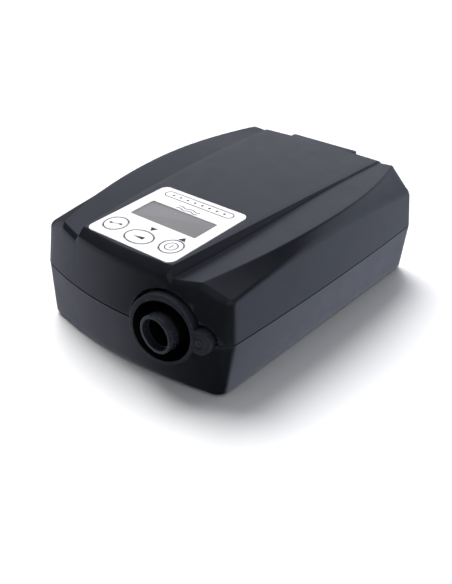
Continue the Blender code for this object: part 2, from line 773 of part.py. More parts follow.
def visor_profile():
    """Side view of the roof's overhang: on with the panel's curve, over a small edge, and back."""
    skin = 0.02 * MM
    rows = [VISOR_FRONT_Y + (VISOR_BACK_Y - VISOR_ARC - VISOR_FRONT_Y) * k / 4 for k in range(4)]
    top = [(y, panel_z(y) - skin) for y in rows]
    tip = (VISOR_BACK_Y - VISOR_ARC, panel_z(VISOR_BACK_Y) - skin - VISOR_ARC)
    edge = list(reversed(arc(tip, VISOR_ARC, 0, 90, 5)))
    return top + edge + [(VISOR_BACK_Y, VISOR_BOTTOM), (VISOR_FRONT_Y, VISOR_BOTTOM)]


def board_post_tools(name, radius, low, high):
    """A cylinder at each of the display board's posts."""
    return [
        tool(f"{name}_{k}", cylinder_mesh(name, radius, low, high, 12, at=place), PANEL)
        for k, place in enumerate(BOARD_POSTS)
    ]


def window_tool(name):
    low, high = (-WINDOW_HALF, WINDOW_FRONT), (WINDOW_HALF, WINDOW_BACK)
    outline = rounded_rectangle(low, high, 0.6 * MM, 2)
    return tool(name, plate_mesh(name, outline, -12 * MM, 5 * MM), PANEL)


def key_tool(name, key, grow):
    across, along, half_width, half_length = KEYS[key]
    outline = ellipse((across, along), half_width + grow, half_length + grow)
    return tool(name, plate_mesh(name, outline, -6 * MM, 5 * MM), PANEL)


# ---------------------------------------------------------------- keypad and display


def make_keypad():
    outline = rounded_rectangle((-OVERLAY_HALF, 0), (OVERLAY_HALF, OVERLAY_LENGTH), OVERLAY_CORNER)
    mesh = plate_mesh("keypad_overlay", outline, OVERLAY_BOTTOM, OVERLAY_TOP)
    overlay = piece("keypad_overlay", mesh, "overlay", PANEL)
    cut(overlay, window_tool("overlay_window"))
    cut(overlay, *[key_tool("overlay_key_" + key, key, GAP) for key in KEYS])
    for key, (across, along, half_width, half_length) in KEYS.items():
        outline = ellipse((0, 0), half_width, half_length)
        mesh = plate_mesh("key_" + key, outline, KEY_BOTTOM, OVERLAY_TOP)
        piece("key_" + key, mesh, "overlay", PANEL, (across, along, 0))


def make_screen():
    low = (-WINDOW_HALF + GAP, WINDOW_FRONT + GAP, SCREEN_BOTTOM)
    high = (WINDOW_HALF - GAP, WINDOW_BACK - GAP, SCREEN_TOP)
    piece("lcd_screen", box_mesh("lcd_screen", low, high), "screen", PANEL)
    low = (-WINDOW_HALF - LCD_RIM, WINDOW_FRONT - LCD_RIM, BOARD_TOP + GAP)
    high = (WINDOW_HALF + LCD_RIM, WINDOW_BACK + LCD_RIM, SCREEN_BOTTOM - GAP)
    piece("lcd_module", box_mesh("lcd_module", low, high), "component", PANEL)


def make_display_board():
    low, high = (-BOARD_HALF, BOARD_FRONT), (BOARD_HALF, BOARD_BACK)
    mesh = plate_mesh("display_board", rounded_rectangle(low, high, 1.5 * MM, 2), BOARD_BOTTOM, BOARD_TOP)
    board = piece("display_board", mesh, "board", PANEL)
    cut(board, *board_post_tools("board_hole", 1.6 * MM, BOARD_BOTTOM - 1 * MM, BOARD_TOP + 1 * MM))
    for name, place in zip(CORNER_NAMES, BOARD_POSTS):
        make_screw("board_screw_" + name, BOARD_SCREW, place, BOARD_BOTTOM - GAP, PANEL)
    low, high = BOARD_TOP + GAP, BOARD_TOP + BUZZER_HEIGHT
    buzzer = cylinder_mesh("buzzer", 4.5 * MM, low, high, 20, at=BUZZER_PLACE)
    piece("buzzer", buzzer, "component", PANEL)


def make_key_switches():
    """Tactile switches on the board, one under each key, with their plungers up."""
    for key, (across, along, _, _) in KEYS.items():
        low = (across - SWITCH_HALF, along - SWITCH_HALF, BOARD_TOP + GAP)
        high = (across + SWITCH_HALF, along + SWITCH_HALF, BOARD_TOP + 2.2 * MM)
        name = "key_switch_" + key
        switch = piece(name, box_mesh(name, low, high), "component", PANEL)
        top = KEY_BOTTOM - KEY_TRAVEL - GAP
        plunger = cylinder_mesh("plunger", 1.7 * MM, BOARD_TOP + 1.5 * MM, top, 12, at=(across, along))
        join(switch, tool("plunger_" + key, plunger, PANEL))


def make_screw(name, sizes, place, head_top, frame=None):
    """A screw that points up, its head's underside at head_top, with a cross recess in the head."""
    radius, head_radius, head, length = sizes
    bottom = head_top - head
    shank = cylinder_mesh(name, radius, head_top - 0.2 * MM, head_top + length, 10, at=place)
    screw = piece(name, shank, "steel", frame)
    cap = cylinder_mesh(name + "_head", head_radius * 0.85, bottom, head_top, 16, head_radius, place)
    join(screw, tool(name + "_head", cap, frame))
    long, short = 0.6 * head_radius, 0.15 * head_radius
    for k, (half_x, half_y) in enumerate(((long, short), (short, long))):
        low = (place[0] - half_x, place[1] - half_y, bottom - 1 * MM)
        high = (place[0] + half_x, place[1] + half_y, bottom + 0.45 * head)
        cut(screw, tool(f"{name}_slot_{k}", box_mesh("slot", low, high), frame))


# ---------------------------------------------------------------- outlet


def make_flange():
    """Flange with its neck and collar, and the round cup that the hose cuff goes into."""
    flange = piece(
        "outlet_flange",
        cylinder_mesh("outlet_flange", FLANGE_RADIUS, 0, FLANGE_DEPTH, 40),
        "case",
        PORT,
    )
    lobe = cylinder_mesh("lobe", LOBE_RADIUS, 0, FLANGE_DEPTH, 24, at=(LOBE_ACROSS, -LOBE_UP))
    join(flange, tool("flange_lobe", lobe, PORT))
    join(flange, *keyhole_tools("collar", COLLAR_RIM, FLANGE_DEPTH - COLLAR_DEPTH, FLANGE_DEPTH))
    cup = cylinder_mesh("cup", CUP_RADIUS, -94 * MM, CUP_FLOOR_BACK, 40)
    join(flange, tool("cup", cup, OUTLET))
    recess = cylinder_mesh("recess", RECESS_RADIUS, -110 * MM, CUP_FLOOR_FRONT, 40)
    bore = cylinder_mesh("cup_bore", 11.7 * MM, -110 * MM, CUP_FLOOR_BACK + 5 * MM, 32)
    rivet_hole = cylinder_mesh("rivet_hole", 1.5 * MM, -1 * MM, 8 * MM, 12, at=(LOBE_ACROSS, -LOBE_UP))
    rivet_seat = cylinder_mesh("rivet_seat", 3.0 * MM, -1 * MM, 0.9 * MM, 20, at=(LOBE_ACROSS, -LOBE_UP))
    cut(flange, tool("recess", recess, OUTLET), tool("cup_bore", bore, OUTLET))
    cut(flange, tool("rivet_hole", rivet_hole, PORT), tool("rivet_seat", rivet_seat, PORT))


def make_rivet():
    at = (LOBE_ACROSS, -LOBE_UP)
    head = cylinder_mesh("flange_rivet", 2.7 * MM, 0.1 * MM, 0.6 * MM, 20, at=at)
    rivet = piece("flange_rivet", head, "case", PORT)
    join(rivet, tool("rivet_shank", cylinder_mesh("shank", 1.2 * MM, 0.5 * MM, 7 * MM, 12, at=at), PORT))
    dimple = cylinder_mesh("rivet_dimple", 0.5 * MM, -1 * MM, 0.35 * MM, 10, at=at)
    cut(rivet, tool("rivet_dimple", dimple, PORT))


def cone_radius(y):
    return CONE_RADIUS + (y - CONE_FRONT_Y) * CONE_TAPER / 2


def make_tube():
    """Male cone with a lead-in lip, a retaining disc behind the cup, and a spigot for the coupling."""
    disc_front = CUP_FLOOR_BACK + GAP
    disc_back = disc_front + 2 * MM
    profile = [
        (CONE_BORE + 0.9 * MM, CONE_FRONT_Y),
        (CONE_RADIUS - 0.3 * MM, CONE_FRONT_Y),
        (CONE_RADIUS, CONE_FRONT_Y + 0.4 * MM),
        (cone_radius(disc_front), disc_front),
        (14.5 * MM, disc_front),
        (14.5 * MM, disc_back),
        (10.9 * MM, disc_back),
        (10.9 * MM, CONE_BACK_Y),
        (CONE_BORE, CONE_BACK_Y),
        (CONE_BORE, CONE_FRONT_Y + 4 * MM),
        (CONE_BORE + 0.6 * MM, CONE_FRONT_Y + 3.6 * MM),
        (CONE_BORE + 0.6 * MM, CONE_FRONT_Y + 0.6 * MM),
    ]
    turned_piece("outlet_tube", list(reversed(profile)), "case", 36, OUTLET)


def make_coupling():
    """Silicone sleeve from the blower's square duct to the tube's round spigot."""
    duct_end = BLOWER_Y - DUCT_LENGTH
    sections = [  # y, half-side of the square, radius of the corners, or None for a circle's radius
        (duct_end + 5 * MM, DUCT_HALF + GAP, 0.6 * MM),
        (duct_end - 1 * MM, DUCT_HALF + GAP, 0.6 * MM),
        (duct_end - 3 * MM, DUCT_HALF - 1 * MM, 4 * MM),
        (CONE_BACK_Y + 2 * MM, 9.5 * MM, 9.4 * MM),
        (CONE_BACK_Y, 10.9 * MM + GAP, 11.1 * MM),
        (CONE_BACK_Y - 8 * MM, 10.9 * MM + GAP, 11.1 * MM),
    ]
    thick = 2.2 * MM
    inner = [coupling_ring(y, half, radius) for y, half, radius in sections]
    outer = [coupling_ring(y, half + thick, radius + thick * 0.9) for y, half, radius in sections]
    mesh = loft_mesh("outlet_coupling", inner + list(reversed(outer)), closed=True)
    piece("outlet_coupling", mesh, "silicone")


def coupling_ring(y, half, radius):
    outline = rounded_rectangle((-half, -half), (half, half), radius, 5)
    return [(OUTLET_X + across, y, OUTLET_Z + up) for across, up in outline]


# ---------------------------------------------------------------- blower


def spiral_outline(inset):
    """Housing outline, anticlockwise from the duct's outer corner: duct, spiral, back to the duct."""
    wall, inner = DUCT_OFFSET + DUCT_HALF - inset, DUCT_OFFSET - DUCT_HALF + inset
    end = -DUCT_LENGTH - (1 * MM if inset else 0)
    steps = 30
    first_turn = math.atan2(28 * MM, inner)
    points = [(inner, end), (wall, end)]
    for k in range(steps + 1):
        anticlockwise = (math.tau - first_turn) * k / steps
        radius = SPIRAL_START + SPIRAL_GROWTH * (1 - anticlockwise / math.tau) - inset
        points.append((radius * math.cos(anticlockwise), radius * math.sin(anticlockwise)))
    return points


def make_blower_housing():
    base_mesh = plate_mesh("blower_base", spiral_outline(0), HOUSING_BOTTOM, HOUSING_SPLIT - GAP / 2)
    base = piece("blower_base", base_mesh, "housing", BLOWER)
    cup = cylinder_mesh("motor_cup", MOTOR_CUP_RADIUS, MOTOR_CUP_BOTTOM, HOUSING_BOTTOM + 1 * MM, 32)
    join(base, tool("motor_cup", cup, BLOWER))
    channel = spiral_outline(HOUSING_WALL)
    hollow = plate_mesh("base_hollow", channel, HOUSING_BOTTOM + HOUSING_WALL, HOUSING_TOP)
    well_floor = MOTOR_CUP_BOTTOM + HOUSING_WALL
    well = cylinder_mesh("motor_well", MOTOR_WELL_RADIUS, well_floor, HOUSING_TOP, 32)
    seat = cylinder_mesh("lower_bearing_seat", 4.3 * MM, MOTOR_CUP_BOTTOM - 1 * MM, HOUSING_BOTTOM, 20)
    cut(base, tool("base_hollow", hollow, BLOWER), tool("motor_well", well, BLOWER))
    cut(base, tool("lower_bearing_seat", seat, BLOWER))
    ears = [mount_ear(k) for k in range(3)]
    join(base, *[ear for ear, _ in ears])
    cut(base, *[hole for _, hole in ears])

    cover_mesh = plate_mesh("blower_cover", spiral_outline(0), HOUSING_SPLIT + GAP / 2, HOUSING_TOP)
    cover = piece("blower_cover", cover_mesh, "housing", BLOWER)
    collar = cylinder_mesh("eye_collar", INLET_EYE + 2 * MM, HOUSING_TOP - 1 * MM, HOUSING_TOP + 4 * MM, 32)
    join(cover, tool("eye_collar", collar, BLOWER))
    hollow = plate_mesh("cover_hollow", channel, HOUSING_BOTTOM, HOUSING_TOP - HOUSING_WALL)
    eye = cylinder_mesh("inlet_eye", INLET_EYE, HOUSING_SPLIT, HOUSING_TOP + 6 * MM, 32)
    cut(cover, tool("cover_hollow", hollow, BLOWER), tool("inlet_eye", eye, BLOWER))


def mount_ear(index):
    """A lug with a hole for one rubber mount."""
    at = mount_place(index)
    lug = cylinder_mesh("mount_lug", 6.5 * MM, 14 * MM, HOUSING_BOTTOM + 1 * MM, 20, at=at)
    hole = cylinder_mesh("mount_hole", 3.4 * MM, 10 * MM, HOUSING_BOTTOM - 1 * MM, 16, at=at)
    return tool(f"mount_lug_{index}", lug, BLOWER), tool(f"mount_hole_{index}", hole, BLOWER)


def make_mounts():
    """Rubber grommets that stand over the floor's posts and carry the housing's lugs."""
    profile = [
        (2.3 * MM, FLOOR + GAP),
        (MOUNT_RADIUS, FLOOR + GAP),
        (MOUNT_RADIUS, 14 * MM - GAP),
        (3.1 * MM, 14 * MM - GAP),
        (3.1 * MM, 17.5 * MM),
        (2.3 * MM, 17.5 * MM),
    ]
    for k in range(3):
        place = (*mount_place(k), 0)
        turned_piece(f"blower_mount_{k + 1}", list(reversed(profile)), "rubber", 16, BLOWER, place)


def blade_outline(start):
    """One backward-curved blade: a thin plate that leans back as it goes out."""
    inner, outer, thick = 13 * MM, 28.5 * MM, 0.6 * MM
    steps = 5
    near, far = [], []
    for k in range(steps + 1):
        share = k / steps
        radius = inner + (outer - inner) * share
        angle = start + 50 * DEG * share
        offset = thick / radius
        near.append((radius * math.cos(angle - offset), radius * math.sin(angle - offset)))
        far.append((radius * math.cos(angle + offset), radius * math.sin(angle + offset)))
    return near + list(reversed(far))


def make_rotor():
    disc_top = IMPELLER_BOTTOM + IMPELLER_DISC
    disc = cylinder_mesh("impeller", IMPELLER_RADIUS, IMPELLER_BOTTOM, disc_top, 36)
    impeller = piece("impeller", disc, "housing", BLOWER)
    hub = cylinder_mesh("impeller_hub", IMPELLER_HUB, IMPELLER_BOTTOM + 0.5 * MM, 34 * MM, 20, 3.5 * MM)
    join(impeller, tool("impeller_hub", hub, BLOWER))
    for k in range(BLADES):
        blade = plate_mesh("blade", blade_outline(math.tau * k / BLADES), disc_top - 0.5 * MM, IMPELLER_TOP)
        join(impeller, tool(f"blade_{k}", blade, BLOWER))
    bore = cylinder_mesh("impeller_bore", SHAFT_RADIUS + GAP, 20 * MM, 40 * MM, 16)
    cut(impeller, tool("impeller_bore", bore, BLOWER))
    shaft = cylinder_mesh("rotor_shaft", SHAFT_RADIUS, MOTOR_CUP_BOTTOM + 0.8 * MM, 33 * MM, 16)
    piece("rotor_shaft", shaft, "steel", BLOWER)
    ring_piece("rotor_magnet", SHAFT_RADIUS + GAP, 6.5 * MM, 12.6 * MM, 18.6 * MM, "magnet", 24)


def make_stator():
    shaft_hole, well = SHAFT_RADIUS + GAP, MOTOR_WELL_RADIUS - GAP
    ring_piece("motor_bearing_lower", shaft_hole, 4 * MM, 8.6 * MM, 11.6 * MM, "steel", 20)
    ring_piece("motor_bearing_upper", shaft_hole, 4 * MM, 19.6 * MM, 22.6 * MM, "steel", 20)
    ring_piece("motor_stator", 7.2 * MM, well, 11 * MM, 18.8 * MM, "copper", 32)
    ring_piece("motor_plate", 4.3 * MM, well, 19.6 * MM, 22.0 * MM, "housing", 32)


def ring_piece(name, inner, outer, low, high, finish, segments):
    profile = [(inner, low), (inner, high), (outer, high), (outer, low)]
    turned_piece(name, profile, finish, segments, BLOWER)


# ---------------------------------------------------------------- air inlet and power


def make_filter_door():
    """A shallow tray, open to the front, with louvres across its back."""
    door = piece("filter_door", across_mesh("filter_door", door_profile(0), DOOR_HALF), "case")
    hollow = door_profile(-DOOR_SHELL, DOOR_FRONT_Y - 1 * MM)
    cut(door, tool("door_hollow", across_mesh("door_hollow", hollow, DOOR_HALF - DOOR_SHELL)))
    louvres, pitch = 6, 6 * MM
    for k in range(louvres):
        z = 20 * MM + pitch * k
        slot = box_mesh("louvre", (-20 * MM, 96 * MM, z), (20 * MM, 104 * MM, z + 2.2 * MM))
        cut(door, tool(f"louvre_{k}", slot))


def make_air_path():
    low, high = (-24 * MM, 90.5 * MM, 16 * MM), (24 * MM, 96.6 * MM, 58 * MM)
    piece("air_filter", box_mesh("air_filter", low, high), "filter")
    low, high = (-38 * MM, 63 * MM, FLOOR + 0.6 * MM), (38 * MM, 85 * MM, 60 * MM)
    foam = piece("silencer_foam", box_mesh("silencer_foam", low, high), "foam")
    channel = box_mesh("air_channel", (-12 * MM, 60 * MM, 36 * MM), (12 * MM, 90 * MM, 52 * MM))
    cut(foam, tool("air_channel", channel))


def make_power():
    outline = rounded_rectangle((-63 * MM, -34 * MM), (-44 * MM, 62 * MM), 1.5 * MM, 2)
    piece("power_board", plate_mesh("power_board", outline, 7 * MM, 8.6 * MM), "board")
    can = cylinder_mesh("power_capacitor", 6 * MM, 8.9 * MM, 28 * MM, 24, at=(-53.5 * MM, -18 * MM))
    piece("power_capacitor", can, "component")
    inlet = piece("power_inlet", socket_mesh("power_inlet", -SOCKET_X, POWER_HALF), "component")
    facing = (90 * DEG, 0, 0)
    barrel = cylinder_mesh("barrel", 3.4 * MM, -97 * MM, -85 * MM, 16)
    cut(inlet, tool("barrel", barrel, None, (-SOCKET_X, 0, SOCKET_Z), facing))
    pin = cylinder_mesh("inlet_pin", 0.9 * MM, -94 * MM, -84 * MM, 8)
    join(inlet, tool("inlet_pin", pin, None, (-SOCKET_X, 0, SOCKET_Z), facing))
    port = piece("data_port", socket_mesh("data_port", SOCKET_X, DATA_HALF), "component")
    half_width, half_height = DATA_HALF - 1.8 * MM, SOCKET_HALF_HEIGHT - 2.3 * MM
    low = (SOCKET_X - half_width, SOCKET_FRONT_Y + 4 * MM, SOCKET_Z - half_height)
    high = (SOCKET_X + half_width, SOCKET_BACK_Y + 1.4 * MM, SOCKET_Z + half_height)
    cut(port, tool("data_slot", box_mesh("data_slot", low, high)))


def make_fasteners():
    for name, place in zip(CORNER_NAMES, SCREW_PLACES):
        make_screw("case_screw_" + name, CASE_SCREW, place, SCREW_SEAT - GAP)
    for name, place in zip(CORNER_NAMES, FOOT_PLACES):
        top = FOOT_RECESS - GAP
        sole = FOOT_RADIUS - 0.6 * MM
        foot = cylinder_mesh("foot_" + name, sole, -FOOT_PROUD, top, 24, FOOT_RADIUS, place)
        piece("foot_" + name, foot, "rubber")


# ---------------------------------------------------------------- assembly

clear_scene()
PARTS = make_collection("positive_pressure_ventilator")
TOOLS = make_collection("cutters")
CASE = make_frame("case_frame", (0, CASE_BACK_SHIFT, FOOT_PROUD))
PANEL = make_frame("panel_frame", (0, PANEL_FRAME_Y, PANEL_FRAME_Z), (PANEL_TILT, 0, 0), CASE)
PORT = make_frame(
    "port_frame",
    (OUTLET_X, FLANGE_Y, OUTLET_Z + FLANGE_RISE),
    (-90 * DEG - FLANGE_LEAN, 0, FLANGE_TURN),
    CASE,
)
OUTLET = make_frame("outlet_frame", (OUTLET_X, 0, OUTLET_Z), (-90 * DEG, 0, 0), CASE)
BLOWER = make_frame("blower_frame", (BLOWER_X, BLOWER_Y, 0), (0, 0, 0), CASE)

make_lower_case()
make_upper_case()
make_keypad()
make_screen()
make_display_board()
make_key_switches()
make_flange()
make_rivet()
make_tube()
make_coupling()
make_blower_housing()
make_mounts()
make_rotor()
make_stator()
make_filter_door()
make_air_path()
make_power()
make_fasteners()
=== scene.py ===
"""Finished look of the desktop positive-pressure ventilator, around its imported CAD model.

The two case halves, the outlet, the filter door and the keypad are built again with soft edges
and fine surfaces; the pieces inside keep their CAD shapes and get finished materials.
Metres. Shapes are made in the case's own frame, whose z = 0 is the underside of the case.
"""

import json
import math
from dataclasses import astuple, dataclass, replace

import bmesh
import bpy
from mathutils import Matrix, Vector


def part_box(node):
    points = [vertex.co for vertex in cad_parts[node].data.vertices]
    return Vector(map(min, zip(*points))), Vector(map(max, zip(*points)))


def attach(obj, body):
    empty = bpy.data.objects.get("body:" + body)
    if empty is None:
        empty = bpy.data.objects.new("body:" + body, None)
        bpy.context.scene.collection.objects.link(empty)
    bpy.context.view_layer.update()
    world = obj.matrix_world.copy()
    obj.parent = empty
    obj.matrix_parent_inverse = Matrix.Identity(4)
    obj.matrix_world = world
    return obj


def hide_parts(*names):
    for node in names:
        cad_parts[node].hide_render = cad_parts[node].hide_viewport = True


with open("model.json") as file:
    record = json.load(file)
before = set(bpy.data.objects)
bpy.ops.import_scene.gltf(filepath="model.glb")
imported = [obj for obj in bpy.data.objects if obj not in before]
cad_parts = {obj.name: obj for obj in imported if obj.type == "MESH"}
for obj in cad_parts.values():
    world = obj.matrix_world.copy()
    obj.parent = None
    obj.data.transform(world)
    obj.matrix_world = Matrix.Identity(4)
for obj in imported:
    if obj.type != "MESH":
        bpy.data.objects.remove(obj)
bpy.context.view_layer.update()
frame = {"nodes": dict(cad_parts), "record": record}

MM = 0.001
DEG = math.pi / 180

# ---------------- places read from the frame

CASE_LOW, CASE_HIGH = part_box("lower_case")
TUBE_LOW, TUBE_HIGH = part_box("outlet_tube")
CASE_AT = Vector((0, (CASE_LOW.y + CASE_HIGH.y) / 2, CASE_LOW.z))
OUTLET_X = (TUBE_LOW.x + TUBE_HIGH.x) / 2 - CASE_AT.x
OUTLET_Z = (TUBE_LOW.z + TUBE_HIGH.z) / 2 - CASE_AT.z
CONE_FRONT_Y = TUBE_LOW.y - CASE_AT.y
CONE_BACK_Y = TUBE_HIGH.y - CASE_AT.y


def both_sides(x, *places):
    """Points left and right of the middle at each of some places along the case."""
    return [(side * x, y) for y in places for side in (-1, 1)]


# ---------------- sizes of the case

GAP = 0.3 * MM
HALF_WIDTH = 73.1 * MM
HALF_DEPTH = 99.15 * MM
PART_Z = 31.74 * MM
PART_GAP = 0.2 * MM
PART_EDGE = 0.25 * MM  # rounding of each half's rim
WALL = 2.5 * MM
ROOF_DROP = 2.8 * MM
FLOOR = 2.5 * MM
LIP_HEIGHT = 1.8 * MM
LIP_INSET = 1.4 * MM
MIN_CORNER = 1.5 * MM
SOLE_ROUND = 1.5 * MM
RIM_TUCK_RATIO = 1.35  # the case's depth over its width, so that rims tuck in squarely

SIDE_DRAFT = 0.09
FRONT_DRAFT = 0.16
BACK_DRAFT = 0.12
TOP_CORNER = 3.8 * MM
CORNER_STEPS = 8

PANEL_TOP = 70.03 * MM
PANEL_CREST_Y = 57 * MM
PANEL_SAG = 4.27 * MM
PANEL_RUN = 144 * MM
PANEL_HALF = 41.0 * MM
PANEL_MID_Y = -3 * MM
PANEL_FLARE = 5.55 * MM
PANEL_BOW = 1.85 * MM
PANEL_SPAN = 84 * MM
STEP_LEAN = 0.5
STEP_BACK = 1.15 * MM
STEP_GAIN = 4.2 * MM
STEP_FRONT_Y = -90 * MM
STEP_RUN = 155 * MM
RIDGE_HALF = 67.4 * MM
RIDGE_WIDE_Y = 13 * MM
RIDGE_FRONT_BOW = 16.0 * MM
RIDGE_BACK_BOW = 21.0 * MM
RIDGE_TOP = 69.75 * MM
RIDGE_CREST_Y = 45 * MM
RIDGE_SAG = 4.4 * MM
SAG_RUN = 100 * MM
SIDE_TOP = 59.5 * MM
SIDE_ARCH = 8.65 * MM

SIDE_REACH, SIDE_FALL = 1.5 * MM, 1.8 * MM
PANEL_REACH, PANEL_FALL = 5.5 * MM, 3.9 * MM
SHOULDER_REACH, SHOULDER_FALL = 2.6 * MM, 2.2 * MM
BACK_REACH, BACK_FALL = 6.0 * MM, 4.0 * MM
FRONT_ROLL_POWER = 1.15

# Half-widths of the soft creases, in plan.
EDGE_SOFT = 0.3 * MM
BASE_SOFT = 0.5 * MM
RIDGE_SOFT = 0.6 * MM

PANEL_FRAME_Y = -87.1 * MM
PANEL_FRAME_Z = 65.76 * MM
PANEL_TILT = 2.65 * DEG
OVERLAY_HALF = 32.0 * MM
OVERLAY_LENGTH = 63.4 * MM
OVERLAY_CORNER = 4.5 * MM
OVERLAY_TOP = 0.4 * MM
OVERLAY_BOTTOM = -0.5 * MM
WINDOW_HALF = 24.4 * MM
WINDOW_FRONT = 26.7 * MM
WINDOW_BACK = 45.2 * MM
WINDOW_CORNER = 0.6 * MM
WINDOW_DEPTH = 0.4 * MM  # from the film's face down to the clear window's
KEY_BOTTOM = -2.7 * MM
KEYS = {  # across, along, half-width, half-length
    "ramp": (-21.6 * MM, 13.0 * MM, 7.3 * MM, 7.3 * MM),
    "mode": (-0.5 * MM, 10.1 * MM, 9.4 * MM, 6.9 * MM),
    "power": (20.4 * MM, 13.0 * MM, 7.0 * MM, 7.0 * MM),
}
BOARD_POSTS = both_sides(28 * MM, 6 * MM, 57.5 * MM)
BOARD_TOP = -7.8 * MM
POST_RADIUS, POST_HOLE = 2.4 * MM, 1.3 * MM

FLANGE_Y = -98.4 * MM
FLANGE_TURN = 11 * DEG
FLANGE_LEAN = 5 * DEG
FLANGE_RISE = 0.7 * MM
FLANGE_RADIUS = 20.0 * MM
FLANGE_DEPTH = 12.5 * MM
FLANGE_EDGE = 0.45 * MM
COLLAR_DEPTH = 1.6 * MM
COLLAR_RIM = 3.2 * MM
RECESS_RADIUS = 17.2 * MM
CUP_RADIUS = 18.6 * MM
CUP_FRONT, CUP_FLOOR_FRONT, CUP_FLOOR_BACK = -94 * MM, -78 * MM, -76 * MM
AHEAD = -110 * MM  # a place ahead of the whole outlet, where its cutters start
LOBE_AT, LOBE_RADIUS = (22.7 * MM, 0.56 * MM), 6.9 * MM  # across and down the flange's face
RIVET_HOLE, RIVET_SEAT, RIVET_SEAT_DEPTH = 1.5 * MM, 3.0 * MM, 0.9 * MM
RIVET_HEAD, RIVET_SHANK, RIVET_DIMPLE = 2.7 * MM, 1.2 * MM, 0.5 * MM
KEYHOLE_FRONT, KEYHOLE_BACK = -3 * MM, 16 * MM
UPPER_CLEARANCE = 2.0 * MM
CONE_RADIUS = 11.0 * MM
CONE_TAPER = 1 / 40
CONE_BORE = 8.2 * MM
CONE_LIT = 6.0 * MM  # length of the cone that isn't painted with shade inside the recess
CONE_LIP = 0.55 * MM
CONE_GROOVE, GROOVE_FRONT, GROOVE_BACK = 0.6 * MM, 0.6 * MM, 3.6 * MM
DISC_RADIUS, DISC_DEPTH = 14.5 * MM, 2 * MM
STEM_RADIUS = 10.9 * MM
INNER_BORE = 11.7 * MM

BLOWER_X, BLOWER_Y = 3.6 * MM, 14 * MM
MOUNT_CIRCLE = 28 * MM
PEG_RADIUS, PEG_TOP = 2 * MM, 10 * MM  # the pegs in the blower's mounts

DOOR_HALF = 28 * MM
DOOR_BOTTOM = 12 * MM
DOOR_SHELL = 2.2 * MM
DOOR_BACK_Y = 100.9 * MM
DOOR_FRONT_Y = 89.9 * MM
DOOR_TOP = 62 * MM
DOOR_ARC = 4 * MM
DOOR_LEAN = 1.3 * MM
LOUVRES, LOUVRE_PITCH, LOUVRE_LOW = 6, 6 * MM, 20 * MM
LOUVRE_HALF, LOUVRE_HEIGHT, LOUVRE_CORNER = 20 * MM, 2.2 * MM, 1.0 * MM

# The edge of the roof that hangs over the door.
VISOR_HALF = 24.5 * MM
VISOR_FRONT_Y = 84 * MM
VISOR_BACK_Y = 97.1 * MM
VISOR_BOTTOM = 66 * MM
VISOR_ARC = 2 * MM

SCREW_PLACES = both_sides(57 * MM, -70 * MM, 70 * MM)
FOOT_PLACES = both_sides(44 * MM, -76 * MM, 78 * MM)
BOSS_RADIUS = 4.2 * MM
SCREW_HOLE, SCREW_THREAD, SCREW_HEAD = 1.8 * MM, 1.9 * MM, 3.2 * MM
SCREW_SEAT = 6 * MM
FOOT_RADIUS, FOOT_RECESS = 6.5 * MM, 1.2 * MM

CASE = Matrix.Translation(CASE_AT)
PANEL = (
    CASE @ Matrix.Translation((0, PANEL_FRAME_Y, PANEL_FRAME_Z)) @ Matrix.Rotation(PANEL_TILT, 4, "X")
)
PORT = (
    CASE
    @ Matrix.Translation((OUTLET_X, FLANGE_Y, OUTLET_Z + FLANGE_RISE))
    @ Matrix.Rotation(FLANGE_TURN, 4, "Z")
    @ Matrix.Rotation(-90 * DEG - FLANGE_LEAN, 4, "X")
)
OUTLET = CASE @ Matrix.Translation((OUTLET_X, 0, OUTLET_Z)) @ Matrix.Rotation(-90 * DEG, 4, "X")
BLOWER = CASE @ Matrix.Translation((BLOWER_X, BLOWER_Y, 0))


# ---------------- objects


def new_object(name, data):
    obj = bpy.data.objects.new(name, data)
    bpy.context.scene.collection.objects.link(obj)
    return obj


def add(name, mesh, place=CASE):
    """A new object whose mesh already stands in the shared frame."""
    mesh.transform(place)
    return new_object(name, mesh)


def bake_modifiers(obj):
    """Makes the modifiers' result the object's own mesh."""
    depsgraph = bpy.context.evaluated_depsgraph_get()
    mesh = bpy.data.meshes.new_from_object(obj.evaluated_get(depsgraph))
    obj.modifiers.clear()
    obj.data = mesh


def combine(obj, other, operation):
    modifier = obj.modifiers.new(operation, "BOOLEAN")
    modifier.operation = operation
    modifier.solver = "EXACT"
    modifier.object = other
    bake_modifiers(obj)
    bpy.data.objects.remove(other)


def cut(obj, *others):
    for other in others:
        combine(obj, other, "DIFFERENCE")


def join(obj, *others):
    for other in others:
        combine(obj, other, "UNION")


def soften(obj, width, segments=3, angle=40 * DEG):
    """Rounds the edges sharper than an angle."""
    bevel = obj.modifiers.new("soften", "BEVEL")
    bevel.width = width
    bevel.segments = segments
    bevel.limit_method = "ANGLE"
    bevel.angle_limit = angle
    bevel.use_clamp_overlap = True
    bake_modifiers(obj)


def smooth(obj, angle=40 * DEG):
    obj.data.shade_smooth()
    obj.data.set_sharp_from_angle(angle=angle)


def paint(obj, material):
    obj.data.materials.clear()
    obj.data.materials.append(material)


def finished(obj, material, body, replaces=()):
    """Gives a piece its material and the body it moves with, and hides the CAD nodes it stands for."""
    paint(obj, material)
    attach(obj, body)
    if replaces:
        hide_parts(*replaces)


# ---------------- mesh makers


def mesh_from(name, bm):
    bmesh.ops.recalc_face_normals(bm, faces=bm.faces)
    mesh = bpy.data.meshes.new(name)
    bm.to_mesh(mesh)
    bm.free()
    return mesh


def cylinder_mesh(radius, low, high, segments=48, at=(0, 0)):
    bm = bmesh.new()
    bmesh.ops.create_cone(
        bm,
        cap_ends=True,
        segments=segments,
        radius1=radius,
        radius2=radius,
        depth=high - low,
        matrix=Matrix.Translation((*at, (low + high) / 2)),
    )
    return mesh_from("cylinder", bm)


